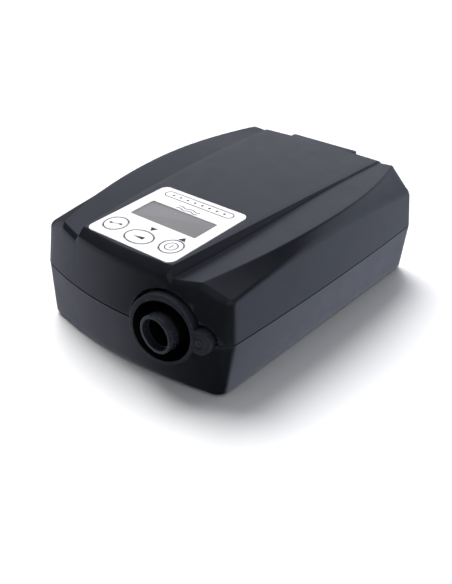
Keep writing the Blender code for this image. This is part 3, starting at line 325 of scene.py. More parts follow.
def bridge(bm, lower, upper):
    """Faces between two rings of equally many vertices."""
    for k in range(len(lower)):
        after = (k + 1) % len(lower)
        bm.faces.new((lower[k], lower[after], upper[after], upper[k]))


def loft_mesh(rings, closed=False):
    """Skin between rings of equally many points, with flat ends, or closed back on itself."""
    bm = bmesh.new()
    rows = [[bm.verts.new(point) for point in ring] for ring in rings]
    for lower, upper in list(zip(rows, rows[1:])) + ([(rows[-1], rows[0])] if closed else []):
        bridge(bm, lower, upper)
    if not closed:
        bm.faces.new(list(reversed(rows[0])))
        bm.faces.new(rows[-1])
    return mesh_from("loft", bm)


def plate_mesh(outline, low, high):
    return loft_mesh([[(x, y, z) for x, y in outline] for z in (low, high)])


def turned_mesh(profile, segments):
    """A ring turned about Z from a closed outline of (radius, height) points."""
    rings = [[(x, y, z) for x, y in ellipse((0, 0), r, r, segments)] for r, z in profile]
    return loft_mesh(rings, closed=True)


def arc(centre, radius, start, end, steps):
    turn = (end - start) / steps
    angles = [(start + turn * k) * DEG for k in range(steps + 1)]
    return [(centre[0] + radius * math.cos(a), centre[1] + radius * math.sin(a)) for a in angles]


def rounded_rectangle(low, high, radius, steps=10):
    (x0, y0), (x1, y1) = low, high
    return (
        arc((x1 - radius, y0 + radius), radius, -90, 0, steps)
        + arc((x1 - radius, y1 - radius), radius, 0, 90, steps)
        + arc((x0 + radius, y1 - radius), radius, 90, 180, steps)
        + arc((x0 + radius, y0 + radius), radius, 180, 270, steps)
    )


def ellipse(centre, half_width, half_length, steps=96):
    turns = [math.tau * k / steps for k in range(steps)]
    return [(centre[0] + half_width * math.cos(t), centre[1] + half_length * math.sin(t)) for t in turns]


# ---------------- the case's form


@dataclass(frozen=True)
class Outline:
    """Plan outline of the case at one height: bowed sides, front and back, round corners."""

    half_width: float
    front: float
    back: float
    side_bow: float
    front_bow: float
    back_bow: float
    corner: float

    def side_x(self, y):
        return self.half_width - self.side_bow * (y / HALF_DEPTH) ** 2

    def front_y(self, x):
        return -self.front + self.front_bow * (x / HALF_WIDTH) ** 2

    def back_y(self, x):
        return self.back - self.back_bow * (x / HALF_WIDTH) ** 2

    def inset(self, wall):
        return replace(
            self,
            half_width=self.half_width - wall,
            front=self.front - wall,
            back=self.back - wall,
            corner=max(self.corner - wall, MIN_CORNER),
        )


PARTING = Outline(
    half_width=HALF_WIDTH,
    front=HALF_DEPTH,
    back=99.8 * MM,
    side_bow=2.53 * MM,
    front_bow=13.11 * MM,
    back_bow=4.0 * MM,
    corner=5.6 * MM,
)
BASE = Outline(
    half_width=67.3 * MM,
    front=97.6 * MM,
    back=98.7 * MM,
    side_bow=0,
    front_bow=10.2 * MM,
    back_bow=3.5 * MM,
    corner=5.0 * MM,
)


def lower_outline(z):
    """The outline at a height of the lower half, between the base's and the parting line's."""
    share = z / PART_Z
    pairs = zip(astuple(BASE), astuple(PARTING))
    return Outline(*[low + (high - low) * share for low, high in pairs])


def round_corner(radius, x, y, front_y, back_y, side_x):
    """Move a point in a corner's square onto the disc that rounds the corner.

    Returns the point, its distance from the outline, and how far it faces the end wall.
    """
    from_side = side_x - abs(x)
    from_end = min(y - front_y, back_y - y)
    across, along = radius - from_side, radius - from_end
    if across <= 0 or along <= 0:
        return x, y, min(from_side, from_end), 1.0 if from_end < from_side else 0.0
    half_square = 2 * radius * radius
    new_across = across * math.sqrt(1 - along * along / half_square)
    new_along = along * math.sqrt(1 - across * across / half_square)
    x -= math.copysign(across - new_across, x)
    towards_middle = 1 if y - front_y < back_y - y else -1
    y += towards_middle * (along - new_along)
    return x, y, radius - math.hypot(new_across, new_along), along / (across + along)


def spread(low, high, corner, count):
    """Places from one end of an edge to the other, with extra ones in its rounded corners."""
    turn = [corner * k / CORNER_STEPS for k in range(CORNER_STEPS)]
    run = high - low - 2 * corner
    inner = [low + corner + run * k / count for k in range(count + 1)]
    return [low + t for t in turn] + inner + [high - t for t in reversed(turn)]


def corner_tip(outline, edge_y):
    """Where an end wall's curve meets the side's."""
    x = outline.half_width
    for _ in range(20):
        y = edge_y(x)
        x = outline.side_x(y)
    return x, y


def outline_ring(outline, z, across=48, along=32):
    """Points around an outline, anticlockwise from the front left corner."""
    front_x, front_tip = corner_tip(outline, outline.front_y)
    back_x, back_tip = corner_tip(outline, outline.back_y)
    ring = [(x, outline.front_y(x)) for x in spread(-front_x, front_x, outline.corner, across)]
    ring += [(outline.side_x(y), y) for y in spread(front_tip, back_tip, outline.corner, along)[1:]]
    ring += [(x, outline.back_y(x)) for x in spread(back_x, -back_x, -outline.corner, across)[1:]]
    ring += [(-outline.side_x(y), y) for y in spread(back_tip, front_tip, -outline.corner, along)[1:-1]]
    rounded = []
    for x, y in ring:
        place = round_corner(
            outline.corner, x, y, outline.front_y(x), outline.back_y(x), outline.side_x(y)
        )
        rounded.append((place[0], place[1], z))
    return rounded


def panel_z(y):
    return PANEL_TOP - PANEL_SAG * ((y - PANEL_CREST_Y) / PANEL_RUN) ** 2


def panel_edge(y):
    share = (y - PANEL_MID_Y) / PANEL_SPAN
    return PANEL_HALF + PANEL_FLARE * share - PANEL_BOW * share * share


def step_height(y):
    share = min(max((y - STEP_FRONT_Y) / STEP_RUN, 0), 1)
    return STEP_BACK + STEP_GAIN * (1 + math.cos(math.pi * share)) / 2


def step_base(y):
    return panel_edge(y) + STEP_LEAN * step_height(y)


def ridge_x(y):
    bow = RIDGE_FRONT_BOW if y < RIDGE_WIDE_Y else RIDGE_BACK_BOW
    return RIDGE_HALF - bow * ((y - RIDGE_WIDE_Y) / SAG_RUN) ** 2


def ridge_z(y):
    return RIDGE_TOP - RIDGE_SAG * (min(y - RIDGE_CREST_Y, 0) / SAG_RUN) ** 2


def side_top_z(y):
    return SIDE_TOP - SIDE_ARCH * (y / HALF_DEPTH) ** 2


def side_top_x(y):
    return PARTING.side_x(y) - SIDE_DRAFT * (side_top_z(y) - PART_Z)


def bend(distance, slope, soft):
    """What a kink adds beyond the line where it starts, eased over a width either side."""
    if distance <= -soft:
        return 0.0
    if distance >= soft:
        return slope * distance
    return slope * (distance + soft) ** 2 / (4 * soft)


def soft_widths(y):
    """Half-widths of the creases at the panel's edge, the step's base and the ridge."""
    face = STEP_LEAN * step_height(y)
    return (
        min(EDGE_SOFT, 0.45 * face),
        min(BASE_SOFT, 0.5 * face),
        min(RIDGE_SOFT, 0.4 * (side_top_x(y) - ridge_x(y))),
    )


def roof_z(x, y):
    """Height of the crown before its edges roll over."""
    x = abs(x)
    edge, base, ridge, side = panel_edge(y), step_base(y), ridge_x(y), side_top_x(y)
    edge_soft, base_soft, ridge_soft = soft_widths(y)
    top = panel_z(y)
    shoulder = (ridge_z(y) - top + step_height(y)) / (ridge - base)
    chamfer = (side_top_z(y) + SIDE_FALL - ridge_z(y)) / (side - ridge)
    top += bend(x - edge, -1 / STEP_LEAN, edge_soft)
    top += bend(x - base, 1 / STEP_LEAN + shoulder, base_soft)
    return top + bend(x - ridge, chamfer - shoulder, ridge_soft)


def front_roll(x):
    """Reach and fall of the front edge: deep under the panel, shallow on the shoulders."""
    y = -HALF_DEPTH + PANEL_REACH
    edge, base = panel_edge(y), step_base(y)
    share = min(max((base - abs(x)) / (base - edge), 0), 1)
    reach = SHOULDER_REACH + (PANEL_REACH - SHOULDER_REACH) * share
    return reach, SHOULDER_FALL + (PANEL_FALL - SHOULDER_FALL) * share


def top_front_y(x):
    y = PARTING.front_y(x) + PANEL_REACH
    height = roof_z(x, y) - front_roll(x)[1]
    return PARTING.front_y(x) + FRONT_DRAFT * (height - PART_Z)


def top_back_y(x):
    y = PARTING.back_y(x) - BACK_REACH
    return PARTING.back_y(x) - BACK_DRAFT * (roof_z(x, y) - BACK_FALL - PART_Z)


def steps_between(low, high, count):
    """Evenly spaced places after low, up to high."""
    return [low + (high - low) * (k + 1) / count for k in range(count)]


def crown_columns(y, inset):
    """Places across the crown from the middle to the right side, close together where it bends."""
    edge, base = panel_edge(y), step_base(y)
    ridge, side = ridge_x(y), side_top_x(y) - inset
    ridge = min(ridge, side - inset - MM)
    edge_soft, base_soft, ridge_soft = soft_widths(y)
    turn = min(TOP_CORNER - inset / 2, 0.75 * (side - ridge) - ridge_soft / 2)
    columns, start = [0.0], 0.0
    for stop, count in (
        (edge - edge_soft, 10),
        (edge + edge_soft, 5),
        (base - base_soft, 2),
        (base + base_soft, 5),
        (ridge - ridge_soft, 8),
        (ridge + ridge_soft, 6),
        (side - turn, 3),
    ):
        columns += steps_between(start, stop, count)
        start = stop
    return columns + [side - t for t in reversed(edge_steps(turn, CORNER_STEPS))]


def edge_steps(reach, count):
    """Distances from an edge that divide its quarter-round evenly."""
    return [reach * (1 - math.cos(math.pi / 2 * k / count)) for k in range(count)]


def crown_rows():
    """Rows as (share from front to back, distance from that end).

    They stand close together at both ends of the front roll and round the back one.
    """
    crowding, beyond, stations = 1.5, 1.2 * MM, 56
    front = [PANEL_REACH * (k / 16) ** crowding for k in range(12)]
    front += [PANEL_REACH * (1 - 0.35 * (k / 8) ** crowding) for k in (6, 4, 3, 2, 1)]
    front += [PANEL_REACH, PANEL_REACH + beyond / 3, PANEL_REACH + beyond]
    back = edge_steps(BACK_REACH, 12) + [BACK_REACH, BACK_REACH + beyond]
    inner = [(k / stations, 0) for k in range(3, stations - 2)]
    return [(0, t) for t in front] + inner + [(1, -t) for t in reversed(back)]


def roll(depth, reach, fall, power=2.0):
    """How far an edge has fallen at this distance from the outline.

    A power of 2 makes a quarter ellipse, and nearer 1 a bevel with rounded ends.
    """
    if depth >= reach:
        return 0.0
    return fall * (1 - max(0.0, 1 - (1 - max(depth, 0) / reach) ** power) ** (1 / power))


def crown_point(column, row, inset, drop):
    """A point of the crown's grid."""
    share, distance = row
    sign = 1 if column >= 0 else -1
    x, y = 0.0, 0.0
    for _ in range(4):
        x = sign * crown_columns(y, inset)[abs(column)]
        front, back = top_front_y(x) + inset, top_back_y(x) - inset
        y = front + (back - front) * share + distance
    corner = TOP_CORNER - inset / 2
    side = side_top_x(y) - inset
    x, y, depth, endness = round_corner(corner, x, y, front, back, side)
    reach, fall = front_roll(x) if y < 0 else (BACK_REACH, BACK_FALL)
    reach = SIDE_REACH + (reach - SIDE_REACH) * endness
    fall = SIDE_FALL + (fall - SIDE_FALL) * endness
    power = 2 + (FRONT_ROLL_POWER - 2) * endness if y < 0 else 2
    return x, y, roof_z(x, y) - roll(depth, reach, fall, power) - drop


def upper_mesh(inset, drop, bottom, rounding):
    """The crown with its four walls down to z = bottom, as one closed solid."""
    rows = crown_rows()
    last = len(crown_columns(0, inset)) - 1
    columns = list(range(-last, last + 1))
    bm = bmesh.new()
    grid = [[bm.verts.new(crown_point(c, row, inset, drop)) for c in columns] for row in rows]
    for near, far in zip(grid, grid[1:]):
        for k in range(len(columns) - 1):
            bm.faces.new((near[k], near[k + 1], far[k + 1], far[k]))
    edge = grid[0][:-1] + [row[-1] for row in grid[:-1]]
    edge += list(reversed(grid[-1]))[:-1] + [row[0] for row in reversed(grid[1:])]
    wall_rows = 8
    feet = [wall_foot(vert.co, inset, bottom) for vert in edge]
    above = edge
    for step in range(1, wall_rows + 1):
        share = step / wall_rows
        row = [bm.verts.new(top.co.lerp(foot, share)) for top, foot in zip(edge, feet)]
        if step == wall_rows and rounding:
            for vert in row:
                vert.co.z += rounding
        bridge(bm, row, above)
        above = row
    if rounding:
        rim = [bm.verts.new(tucked(foot, rounding)) for foot in feet]
        bridge(bm, rim, above)
        above = rim
    bm.faces.new(list(reversed(above)))
    return mesh_from("upper", bm)


def tucked(point, inset):
    """A rim point moved in towards the case's middle, for a rounded rim."""
    return point - Vector((point.x, point.y / RIM_TUCK_RATIO, 0)).normalized() * inset


def wall_foot(top, inset, bottom):
    """The point below a point of the crown's edge, where its wall meets the plane z = bottom."""
    ring = PARTING.inset(inset)
    tip_x, front_tip = corner_tip(ring, ring.front_y)
    _, back_tip = corner_tip(ring, ring.back_y)
    middle = (front_tip + back_tip) / 2
    half_y = back_tip - middle
    direction = Vector((top.x / tip_x, (top.y - middle) / half_y))
    scale = reach_of_ring(ring, direction, tip_x, half_y, middle)
    x, y = direction.x * tip_x * scale, middle + direction.y * half_y * scale
    share = (bottom - top.z) / (PART_Z - top.z)
    return Vector((top.x + (x - top.x) * share, top.y + (y - top.y) * share, bottom))


def reach_of_ring(ring, direction, half_x, half_y, middle):
    """How far to go along a direction from the middle of an outline to reach it."""
    low, high = 0.5, 1.5
    for _ in range(40):
        scale = (low + high) / 2
        x, y = direction.x * half_x * scale, middle + direction.y * half_y * scale
        front, back, side = ring.front_y(x), ring.back_y(x), ring.side_x(y)
        across = max(abs(x) - (side - ring.corner), 0)
        along = max(ring.corner - min(y - front, back - y), 0)
        outside = math.hypot(across, along) > ring.corner
        low, high = (low, scale) if outside else (scale, high)
    return (low + high) / 2


# ---------------- shapes shared by the pieces


def keyhole(grow):
    """The flange's outline: a round face with a small round lobe, grown by a margin."""
    ring, lobe = FLANGE_RADIUS + grow, LOBE_RADIUS + grow
    apart = math.hypot(*LOBE_AT)
    along = (apart * apart + ring * ring - lobe * lobe) / (2 * apart)
    towards = math.atan2(LOBE_AT[1], LOBE_AT[0]) / DEG
    on_ring = math.acos(along / ring) / DEG
    on_lobe = math.acos((along - apart) / lobe) / DEG
    face = arc((0, 0), ring, towards + on_ring, towards + 360 - on_ring, 128)
    ear = arc(LOBE_AT, lobe, towards - on_lobe, towards + on_lobe, 40)
    return face + ear[1:-1]


def keyhole_tool(grow):
    return add("keyhole_tool", plate_mesh(keyhole(grow), KEYHOLE_FRONT, KEYHOLE_BACK), PORT)


def door_profile(grow, front=DOOR_FRONT_Y):
    """Side view of the filter door, grown by a margin: up the back, over the edge, along the top."""
    bottom = DOOR_BOTTOM - grow
    heel_y = DOOR_BACK_Y - DOOR_LEAN + grow
    edge = arc((DOOR_BACK_Y - DOOR_ARC - DOOR_LEAN, DOOR_TOP - DOOR_ARC), DOOR_ARC + grow, 0, 90, 14)
    heel = [(front, bottom), (heel_y, bottom), (DOOR_BACK_Y + grow, PART_Z)]
    return heel + edge + [(front, DOOR_TOP + grow)]


def across_mesh(profile, half):
    """A (y, z) outline made solid from x = -half to x = half."""
    return loft_mesh([[(side * half, y, z) for y, z in profile] for side in (-1, 1)])


def door_opening():
    return add("door_tool", across_mesh(door_profile(GAP, DOOR_FRONT_Y - GAP), DOOR_HALF + GAP))


def socket_openings():
    boxes = []
    for node in ("power_inlet", "data_port"):
        low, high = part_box(node)
        margin = Vector((GAP, 0, GAP))
        low, high = low - margin, high + margin
        high.y += 20 * MM
        corners = [(low.x, low.y), (high.x, low.y), (high.x, high.y), (low.x, high.y)]
        boxes.append(add("socket_tool", plate_mesh(corners, low.z, high.z), Matrix.Identity(4)))
    return boxes


def upright_tools(places, radius, low, high, place=CASE, segments=32):
    meshes = [cylinder_mesh(radius, low, high, segments, at=at) for at in places]
    return [add("upright_tool", mesh, place) for mesh in meshes]


def panel_plate(name, outline, low, high):
    """A flat piece or cutter on the keypad's plane."""
    return add(name, plate_mesh(outline, low, high), PANEL)


def mount_places():
    turns = [math.tau * k / 3 + math.pi / 2 for k in range(3)]
    return [(MOUNT_CIRCLE * math.cos(t), MOUNT_CIRCLE * math.sin(t)) for t in turns]


# ---------------- case halves


def make_lower_case(material):
    rim = PART_Z - PART_GAP
    sole = arc((SOLE_ROUND, SOLE_ROUND), SOLE_ROUND, 270, 180, 8)
    rings = [outline_ring(lower_outline(z).inset(inset), z) for inset, z in sole]
    rings += [outline_ring(lower_outline(z), z) for z in steps_between(SOLE_ROUND, rim - PART_EDGE, 8)]
    rings += [outline_ring(PARTING.inset(PART_EDGE), rim)]
    lip = PARTING.inset(LIP_INSET)
    rings += [outline_ring(lip, rim), outline_ring(lip, PART_Z + LIP_HEIGHT)]
    case = add("lower_case_shell", loft_mesh(rings))
    hollow = [
        outline_ring(lower_outline(FLOOR).inset(WALL), FLOOR),
        outline_ring(PARTING.inset(WALL), PART_Z),
        outline_ring(PARTING.inset(WALL), PART_Z + 5 * MM),
    ]
    cut(case, add("hollow_tool", loft_mesh(hollow)))
    root, below = FLOOR - 1 * MM, -1 * MM
    join(case, *upright_tools(SCREW_PLACES, BOSS_RADIUS, root, PART_Z - 1 * MM))
    join(case, *upright_tools(mount_places(), PEG_RADIUS, root, PEG_TOP, BLOWER))
    cut(case, *upright_tools(SCREW_PLACES, SCREW_HOLE, below, PART_Z + 1 * MM))
    cut(case, *upright_tools(SCREW_PLACES, SCREW_HEAD, below, SCREW_SEAT))
    cut(case, *upright_tools(FOOT_PLACES, FOOT_RADIUS + GAP, below, FOOT_RECESS, segments=64))
    cut(case, keyhole_tool(GAP))
    cut(case, door_opening(), *socket_openings())
    smooth(case)
    finished(case, material, "case", ["lower_case"])


def make_upper_case(material):
    rim = PART_Z + PART_GAP
    case = add("upper_case_shell", upper_mesh(0, 0, rim, PART_EDGE))
    cut(case, add("hollow_tool", upper_mesh(WALL, ROOF_DROP, rim - 3 * MM, 0)))
    rebate = PARTING.inset(LIP_INSET - GAP)
    heights = (rim - 2 * MM, PART_Z + LIP_HEIGHT + GAP)
    cut(case, add("rebate_tool", loft_mesh([outline_ring(rebate, z) for z in heights])))
    for place in SCREW_PLACES:
        top = roof_z(abs(place[0]) + BOSS_RADIUS, place[1]) - 1.2 * MM
        join(case, *upright_tools([place], BOSS_RADIUS, PART_Z + GAP, top))
    cut(case, *upright_tools(SCREW_PLACES, SCREW_THREAD, PART_Z - 1 * MM, PART_Z + 15 * MM))
    join(case, *upright_tools(BOARD_POSTS, POST_RADIUS, BOARD_TOP + GAP, -1 * MM, PANEL))
    cut(case, *upright_tools(BOARD_POSTS, POST_HOLE, BOARD_TOP - 2 * MM, -3.5 * MM, PANEL))
    low, high = (-OVERLAY_HALF - GAP, -GAP), (OVERLAY_HALF + GAP, OVERLAY_LENGTH + GAP)
    tray = rounded_rectangle(low, high, OVERLAY_CORNER + GAP)
    cut(case, panel_plate("tray_tool", tray, OVERLAY_BOTTOM - GAP, 4 * MM))
    cut(case, window_tool(), *[key_tool(key, GAP) for key in KEYS])
    cut(case, keyhole_tool(UPPER_CLEARANCE))
    visor = add("visor_tool", across_mesh(visor_profile(), VISOR_HALF))
    soften(visor, 0.4 * MM, angle=60 * DEG)
    join(case, visor)
    cut(case, door_opening())
    smooth(case)
    finished(case, material, "case", ["upper_case"])


def visor_profile():
    """Side view of the roof's overhang: on with the panel's curve, over a small edge, and back."""
    skin = 0.02 * MM
    run = VISOR_BACK_Y - VISOR_ARC - VISOR_FRONT_Y
    top = [(y, panel_z(y) - skin) for y in [VISOR_FRONT_Y + run * k / 8 for k in range(8)]]
    tip = (VISOR_BACK_Y - VISOR_ARC, panel_z(VISOR_BACK_Y) - skin - VISOR_ARC)
    edge = list(reversed(arc(tip, VISOR_ARC, 0, 90, 12)))
    return top + edge + [(VISOR_BACK_Y, VISOR_BOTTOM), (VISOR_FRONT_Y, VISOR_BOTTOM)]


def window_outline(inset=0):
    low, high = (inset - WINDOW_HALF, WINDOW_FRONT + inset), (WINDOW_HALF - inset, WINDOW_BACK - inset)
    return rounded_rectangle(low, high, WINDOW_CORNER - inset, 4)


def window_tool():
    return panel_plate("window_tool", window_outline(), -12 * MM, 5 * MM)


def key_outline(key, grow=0):
    across, along, half_width, half_length = KEYS[key]
    return ellipse((across, along), half_width + grow, half_length + grow)


def key_tool(key, grow):
    return panel_plate("key_tool", key_outline(key, grow), -6 * MM, 5 * MM)


# ---------------- outlet and door


def paint_hollow_shade(obj, material, place, radius, front, back):
    """Paints shade on the faces inside a radius, between two depths, with a second, near-black material."""
    obj.data.materials.append(material)
    into = place.inverted()
    for face in obj.data.polygons:
        corners = [into @ obj.data.vertices[index].co for index in face.vertices]
        inside = all(math.hypot(corner.x, corner.y) < radius for corner in corners)
        if inside and front < (into @ face.center).z < back:
            face.material_index = 1


def make_flange(material, inside):
    collar_z = FLANGE_DEPTH - COLLAR_DEPTH
    outlines = [(y - FLANGE_EDGE, FLANGE_EDGE + x) for x, y in arc((0, 0), FLANGE_EDGE, 180, 90, 5)]
    outlines += [(0, collar_z), (COLLAR_RIM, collar_z), (COLLAR_RIM, FLANGE_DEPTH)]
    rings = [[(x, y, z) for x, y in keyhole(grow)] for grow, z in outlines]
    flange = add("outlet_flange_shell", loft_mesh(rings), PORT)
    join(flange, add("cup_tool", cylinder_mesh(CUP_RADIUS, CUP_FRONT, CUP_FLOOR_BACK, 128), OUTLET))
    cut(flange, add("recess_tool", cylinder_mesh(RECESS_RADIUS, AHEAD, CUP_FLOOR_FRONT, 128), OUTLET))
    cut(flange, add("bore_tool", cylinder_mesh(INNER_BORE, AHEAD, CUP_FLOOR_BACK + 5 * MM, 96), OUTLET))
    cut(flange, *upright_tools([LOBE_AT], RIVET_HOLE, -1 * MM, 8 * MM, PORT))
    cut(flange, *upright_tools([LOBE_AT], RIVET_SEAT, -1 * MM, RIVET_SEAT_DEPTH, PORT, 48))
    soften(flange, 0.3 * MM, angle=55 * DEG)
    smooth(flange, 50 * DEG)
    finished(flange, material, "case", ["outlet_flange"])
    # The flange's recess round the tube gets a painted shade, near black.
    paint_hollow_shade(flange, inside, OUTLET, RECESS_RADIUS + 0.05 * MM, AHEAD, CUP_FLOOR_FRONT + 1 * MM)


def make_rivet(material):
    head = cylinder_mesh(RIVET_HEAD, 0.1 * MM, 0.6 * MM, 48, at=LOBE_AT)
    rivet = add("flange_rivet_head", head, PORT)
    join(rivet, *upright_tools([LOBE_AT], RIVET_SHANK, 0.5 * MM, 7 * MM, PORT, 24))
    cut(rivet, *upright_tools([LOBE_AT], RIVET_DIMPLE, -1 * MM, 0.35 * MM, PORT, 20))
    soften(rivet, 0.12 * MM, 2)
    smooth(rivet, 60 * DEG)
    finished(rivet, material, "case", ["flange_rivet"])


def cone_radius(y):
    return CONE_RADIUS + (y - CONE_FRONT_Y) * CONE_TAPER / 2


def make_tube(material, inside):
    disc_front = CUP_FLOOR_BACK + GAP
    disc_back = disc_front + DISC_DEPTH
    lit_back = CONE_FRONT_Y + CONE_LIT
    profile = [
        (CONE_BORE + 0.9 * MM, CONE_FRONT_Y),
        *arc((CONE_RADIUS - CONE_LIP, CONE_FRONT_Y + CONE_LIP), CONE_LIP, -90, 0, 6),
        (cone_radius(lit_back), lit_back),
        (cone_radius(disc_front), disc_front),
        (DISC_RADIUS, disc_front),
        (DISC_RADIUS, disc_back),
        (STEM_RADIUS, disc_back),
        (STEM_RADIUS, CONE_BACK_Y),
        (CONE_BORE, CONE_BACK_Y),
        (CONE_BORE, CONE_FRONT_Y + GROOVE_BACK + 0.4 * MM),
        (CONE_BORE + CONE_GROOVE, CONE_FRONT_Y + GROOVE_BACK),
        (CONE_BORE + CONE_GROOVE, CONE_FRONT_Y + GROOVE_FRONT),
    ]
    tube = add("outlet_tube_shell", turned_mesh(profile, 128), OUTLET)
    smooth(tube, 35 * DEG)
    finished(tube, material, "case", ["outlet_tube"])
    # The bore and the cone's foot inside the recess get a painted shade, near black.
    paint_hollow_shade(tube, inside, OUTLET, CONE_BORE + 0.05 * MM, CONE_FRONT_Y, CONE_BACK_Y)
    paint_hollow_shade(tube, inside, OUTLET, DISC_RADIUS + 0.5 * MM, lit_back, disc_back)


def make_filter_door(material):
    door = add("filter_door_shell", across_mesh(door_profile(0), DOOR_HALF))
    hollow = door_profile(-DOOR_SHELL, DOOR_FRONT_Y - 1 * MM)
    cut(door, add("hollow_tool", across_mesh(hollow, DOOR_HALF - DOOR_SHELL)))
    soften(door, 0.5 * MM)
    for k in range(LOUVRES):
        z = LOUVRE_LOW + LOUVRE_PITCH * k
        low, high = (-LOUVRE_HALF, z), (LOUVRE_HALF, z + LOUVRE_HEIGHT)
        slot = plate_mesh(rounded_rectangle(low, high, LOUVRE_CORNER, 6), -104 * MM, -96 * MM)
        cut(door, add("louvre_tool", slot, CASE @ Matrix.Rotation(90 * DEG, 4, "X")))
    smooth(door)
    finished(door, material, "filter_door", ["filter_door"])


# ---------------- keypad


FILM_EDGE, WINDOW_EDGE = 0.12 * MM, 0.06 * MM
PRINT_LOW, PRINT_HIGH = OVERLAY_TOP - 0.02 * MM, OVERLAY_TOP + 0.03 * MM
LINE, RING_INSET = 0.6 * MM, 0.14 * MM


def make_overlay(film):
    outline = rounded_rectangle((-OVERLAY_HALF, 0), (OVERLAY_HALF, OVERLAY_LENGTH), OVERLAY_CORNER, 16)
    overlay = panel_plate("keypad_film", outline, OVERLAY_BOTTOM, OVERLAY_TOP)
    cut(overlay, window_tool(), *[key_tool(key, GAP) for key in KEYS])
    soften(overlay, FILM_EDGE, 2)
    smooth(overlay)
    finished(overlay, film, "case", ["keypad_overlay"])


def make_display_window(screen):
    """The clear window in the film, a little below its face and close over the display."""
    outline = window_outline(0.05 * MM)
    window = panel_plate("display_window", outline, OVERLAY_BOTTOM, OVERLAY_TOP - WINDOW_DEPTH)
    soften(window, WINDOW_EDGE, 2)
    smooth(window)
    finished(window, screen, "case")


def make_key(key, film):
    cap = panel_plate(f"key_{key}_cap", key_outline(key), KEY_BOTTOM, OVERLAY_TOP)
    soften(cap, FILM_EDGE, 2)
    smooth(cap)
    finished(cap, film, f"key_{key}", [f"key_{key}"])


def printed(name, mesh, ink, body):
    """A thin printed mark on the keypad."""
    finished(add(name, mesh, PANEL), ink, body)


def ink_mesh(outline):
    return plate_mesh(outline, PRINT_LOW, PRINT_HIGH)


def band_mesh(outline_of, inner, outer):
    """A line of ink between two sizes of one outline."""
    section = ((inner, PRINT_LOW), (outer, PRINT_LOW), (outer, PRINT_HIGH), (inner, PRINT_HIGH))
    rings = [[(x, y, z) for x, y in outline_of(size)] for size, z in section]
    return loft_mesh(rings, closed=True)


def make_key_print(key, ink):
    """The line round a key, on the cap's rim."""

    def outline_of(size):
        return key_outline(key, size)

    ring = band_mesh(outline_of, -RING_INSET - LINE, -RING_INSET)
    printed(f"print_ring_{key}", ring, ink, f"key_{key}")


def stroke_mesh(points, widths):
    """A flat stroke of ink along a line of points, with its half-width at each."""
    left, right = [], []
    for k, (x, y) in enumerate(points):
        before, after = points[max(k - 1, 0)], points[min(k + 1, len(points) - 1)]
        along = Vector((after[0] - before[0], after[1] - before[1])).normalized()
        left.append((x - along.y * widths[k], y + along.x * widths[k]))
        right.append((x + along.y * widths[k], y - along.x * widths[k]))
    return ink_mesh(right + list(reversed(left)))


def make_ramp_icon(ink):
    """A rising curve with a broad tip at each end."""
    across, along, _, _ = KEYS["ramp"]
    steps, half, swing, turns = 24, 4.2 * MM, 0.9 * MM, 0.9
    tip, bulge_at, bulge_run = 0.24, 0.55, 0.45
    thin, bulge, point = 0.28 * MM, 0.75 * MM, 0.05 * MM
    shares = [k / steps for k in range(steps + 1)]
    points = [
        (across + half * (2 * s - 1), along + swing * math.sin(math.tau * (s - 0.5) * turns))
        for s in shares
    ]
    ends = [min(s, 1 - s) / tip for s in shares]
    widths = [thin + bulge * max(0, 1 - abs(end - bulge_at) / bulge_run) for end in ends]
    widths[0] = widths[-1] = point
    printed("print_icon_ramp", stroke_mesh(points, widths), ink, "key_ramp")


def make_mode_icon(ink):
    """A wedge that widens to the right."""
    across, along, _, _ = KEYS["mode"]
    left, right = across - 3.9 * MM, across + 3.4 * MM
    wedge = [
        (left, along - 0.75 * MM),
        (right, along - 1.2 * MM),
        (right, along + 1.4 * MM),
        (left + 1.2 * MM, along - 0.3 * MM),
    ]
    printed("print_icon_mode", ink_mesh(wedge), ink, "key_mode")


def make_power_icon(ink):
    """A standby mark: a ring round a short bar."""
    across, along, _, _ = KEYS["power"]
    ring_radius, bar_half = 3.3 * MM, 1.7 * MM

    def ring(size):
        return ellipse((across, along), size, size)

    printed("print_icon_ring", band_mesh(ring, ring_radius, ring_radius + LINE), ink, "key_power")
    low, high = (across - LINE / 2, along - bar_half), (across + LINE / 2, along + bar_half)
    bar = rounded_rectangle(low, high, 0.25 * MM, 4)
    printed("print_icon_bar", ink_mesh(bar), ink, "key_power")


def make_pointers(ink):
    """Two small pointers above the middle and right keys."""
    half = 2.5 * MM
    for name, across, along, turn in (("down", -0.3 * MM, 20.1 * MM, -1), ("up", 20.5 * MM, 22.3 * MM, 1)):
        rise = 1.7 * MM * turn
        corners = [(across - half, along - rise), (across + half, along - rise), (across, along + rise)]
        printed(f"print_pointer_{name}", ink_mesh(corners[::turn]), ink, "case")


def make_header_print(ink):
    """A long rounded frame with a row of plain dots, and two plain air lines under it."""
    half_length, half_height, middle = 25.3 * MM, 2.9 * MM, 57.0 * MM

    def pill(size):
        low = (-half_length - size, middle - half_height - size)
        high = (half_length + size, middle + half_height + size)
        return rounded_rectangle(low, high, half_height + size - 0.01 * MM, 16)

    printed("print_header_frame", band_mesh(pill, -LINE / 2, LINE / 2), ink, "case")
    count, pitch, dot = 8, 5.5 * MM, 0.8 * MM
    for k in range(count):
        at = ((k - (count - 1) / 2) * pitch, middle)
        printed(f"print_header_dot_{k + 1}", ink_mesh(ellipse(at, dot, dot, 32)), ink, "case")
    steps, half, swing = 40, 8 * MM, 0.55 * MM
    for k in range(2):
        along = (46.9 + 2.2 * k) * MM
        points = [
            (half * (2 * n / steps - 1), along + swing * math.sin(2 * math.tau * n / steps))
            for n in range(steps + 1)
        ]
        line = stroke_mesh(points, [LINE / 2] * (steps + 1))
        printed(f"print_air_line_{k + 1}", line, ink, "case")


# ---------------- materials


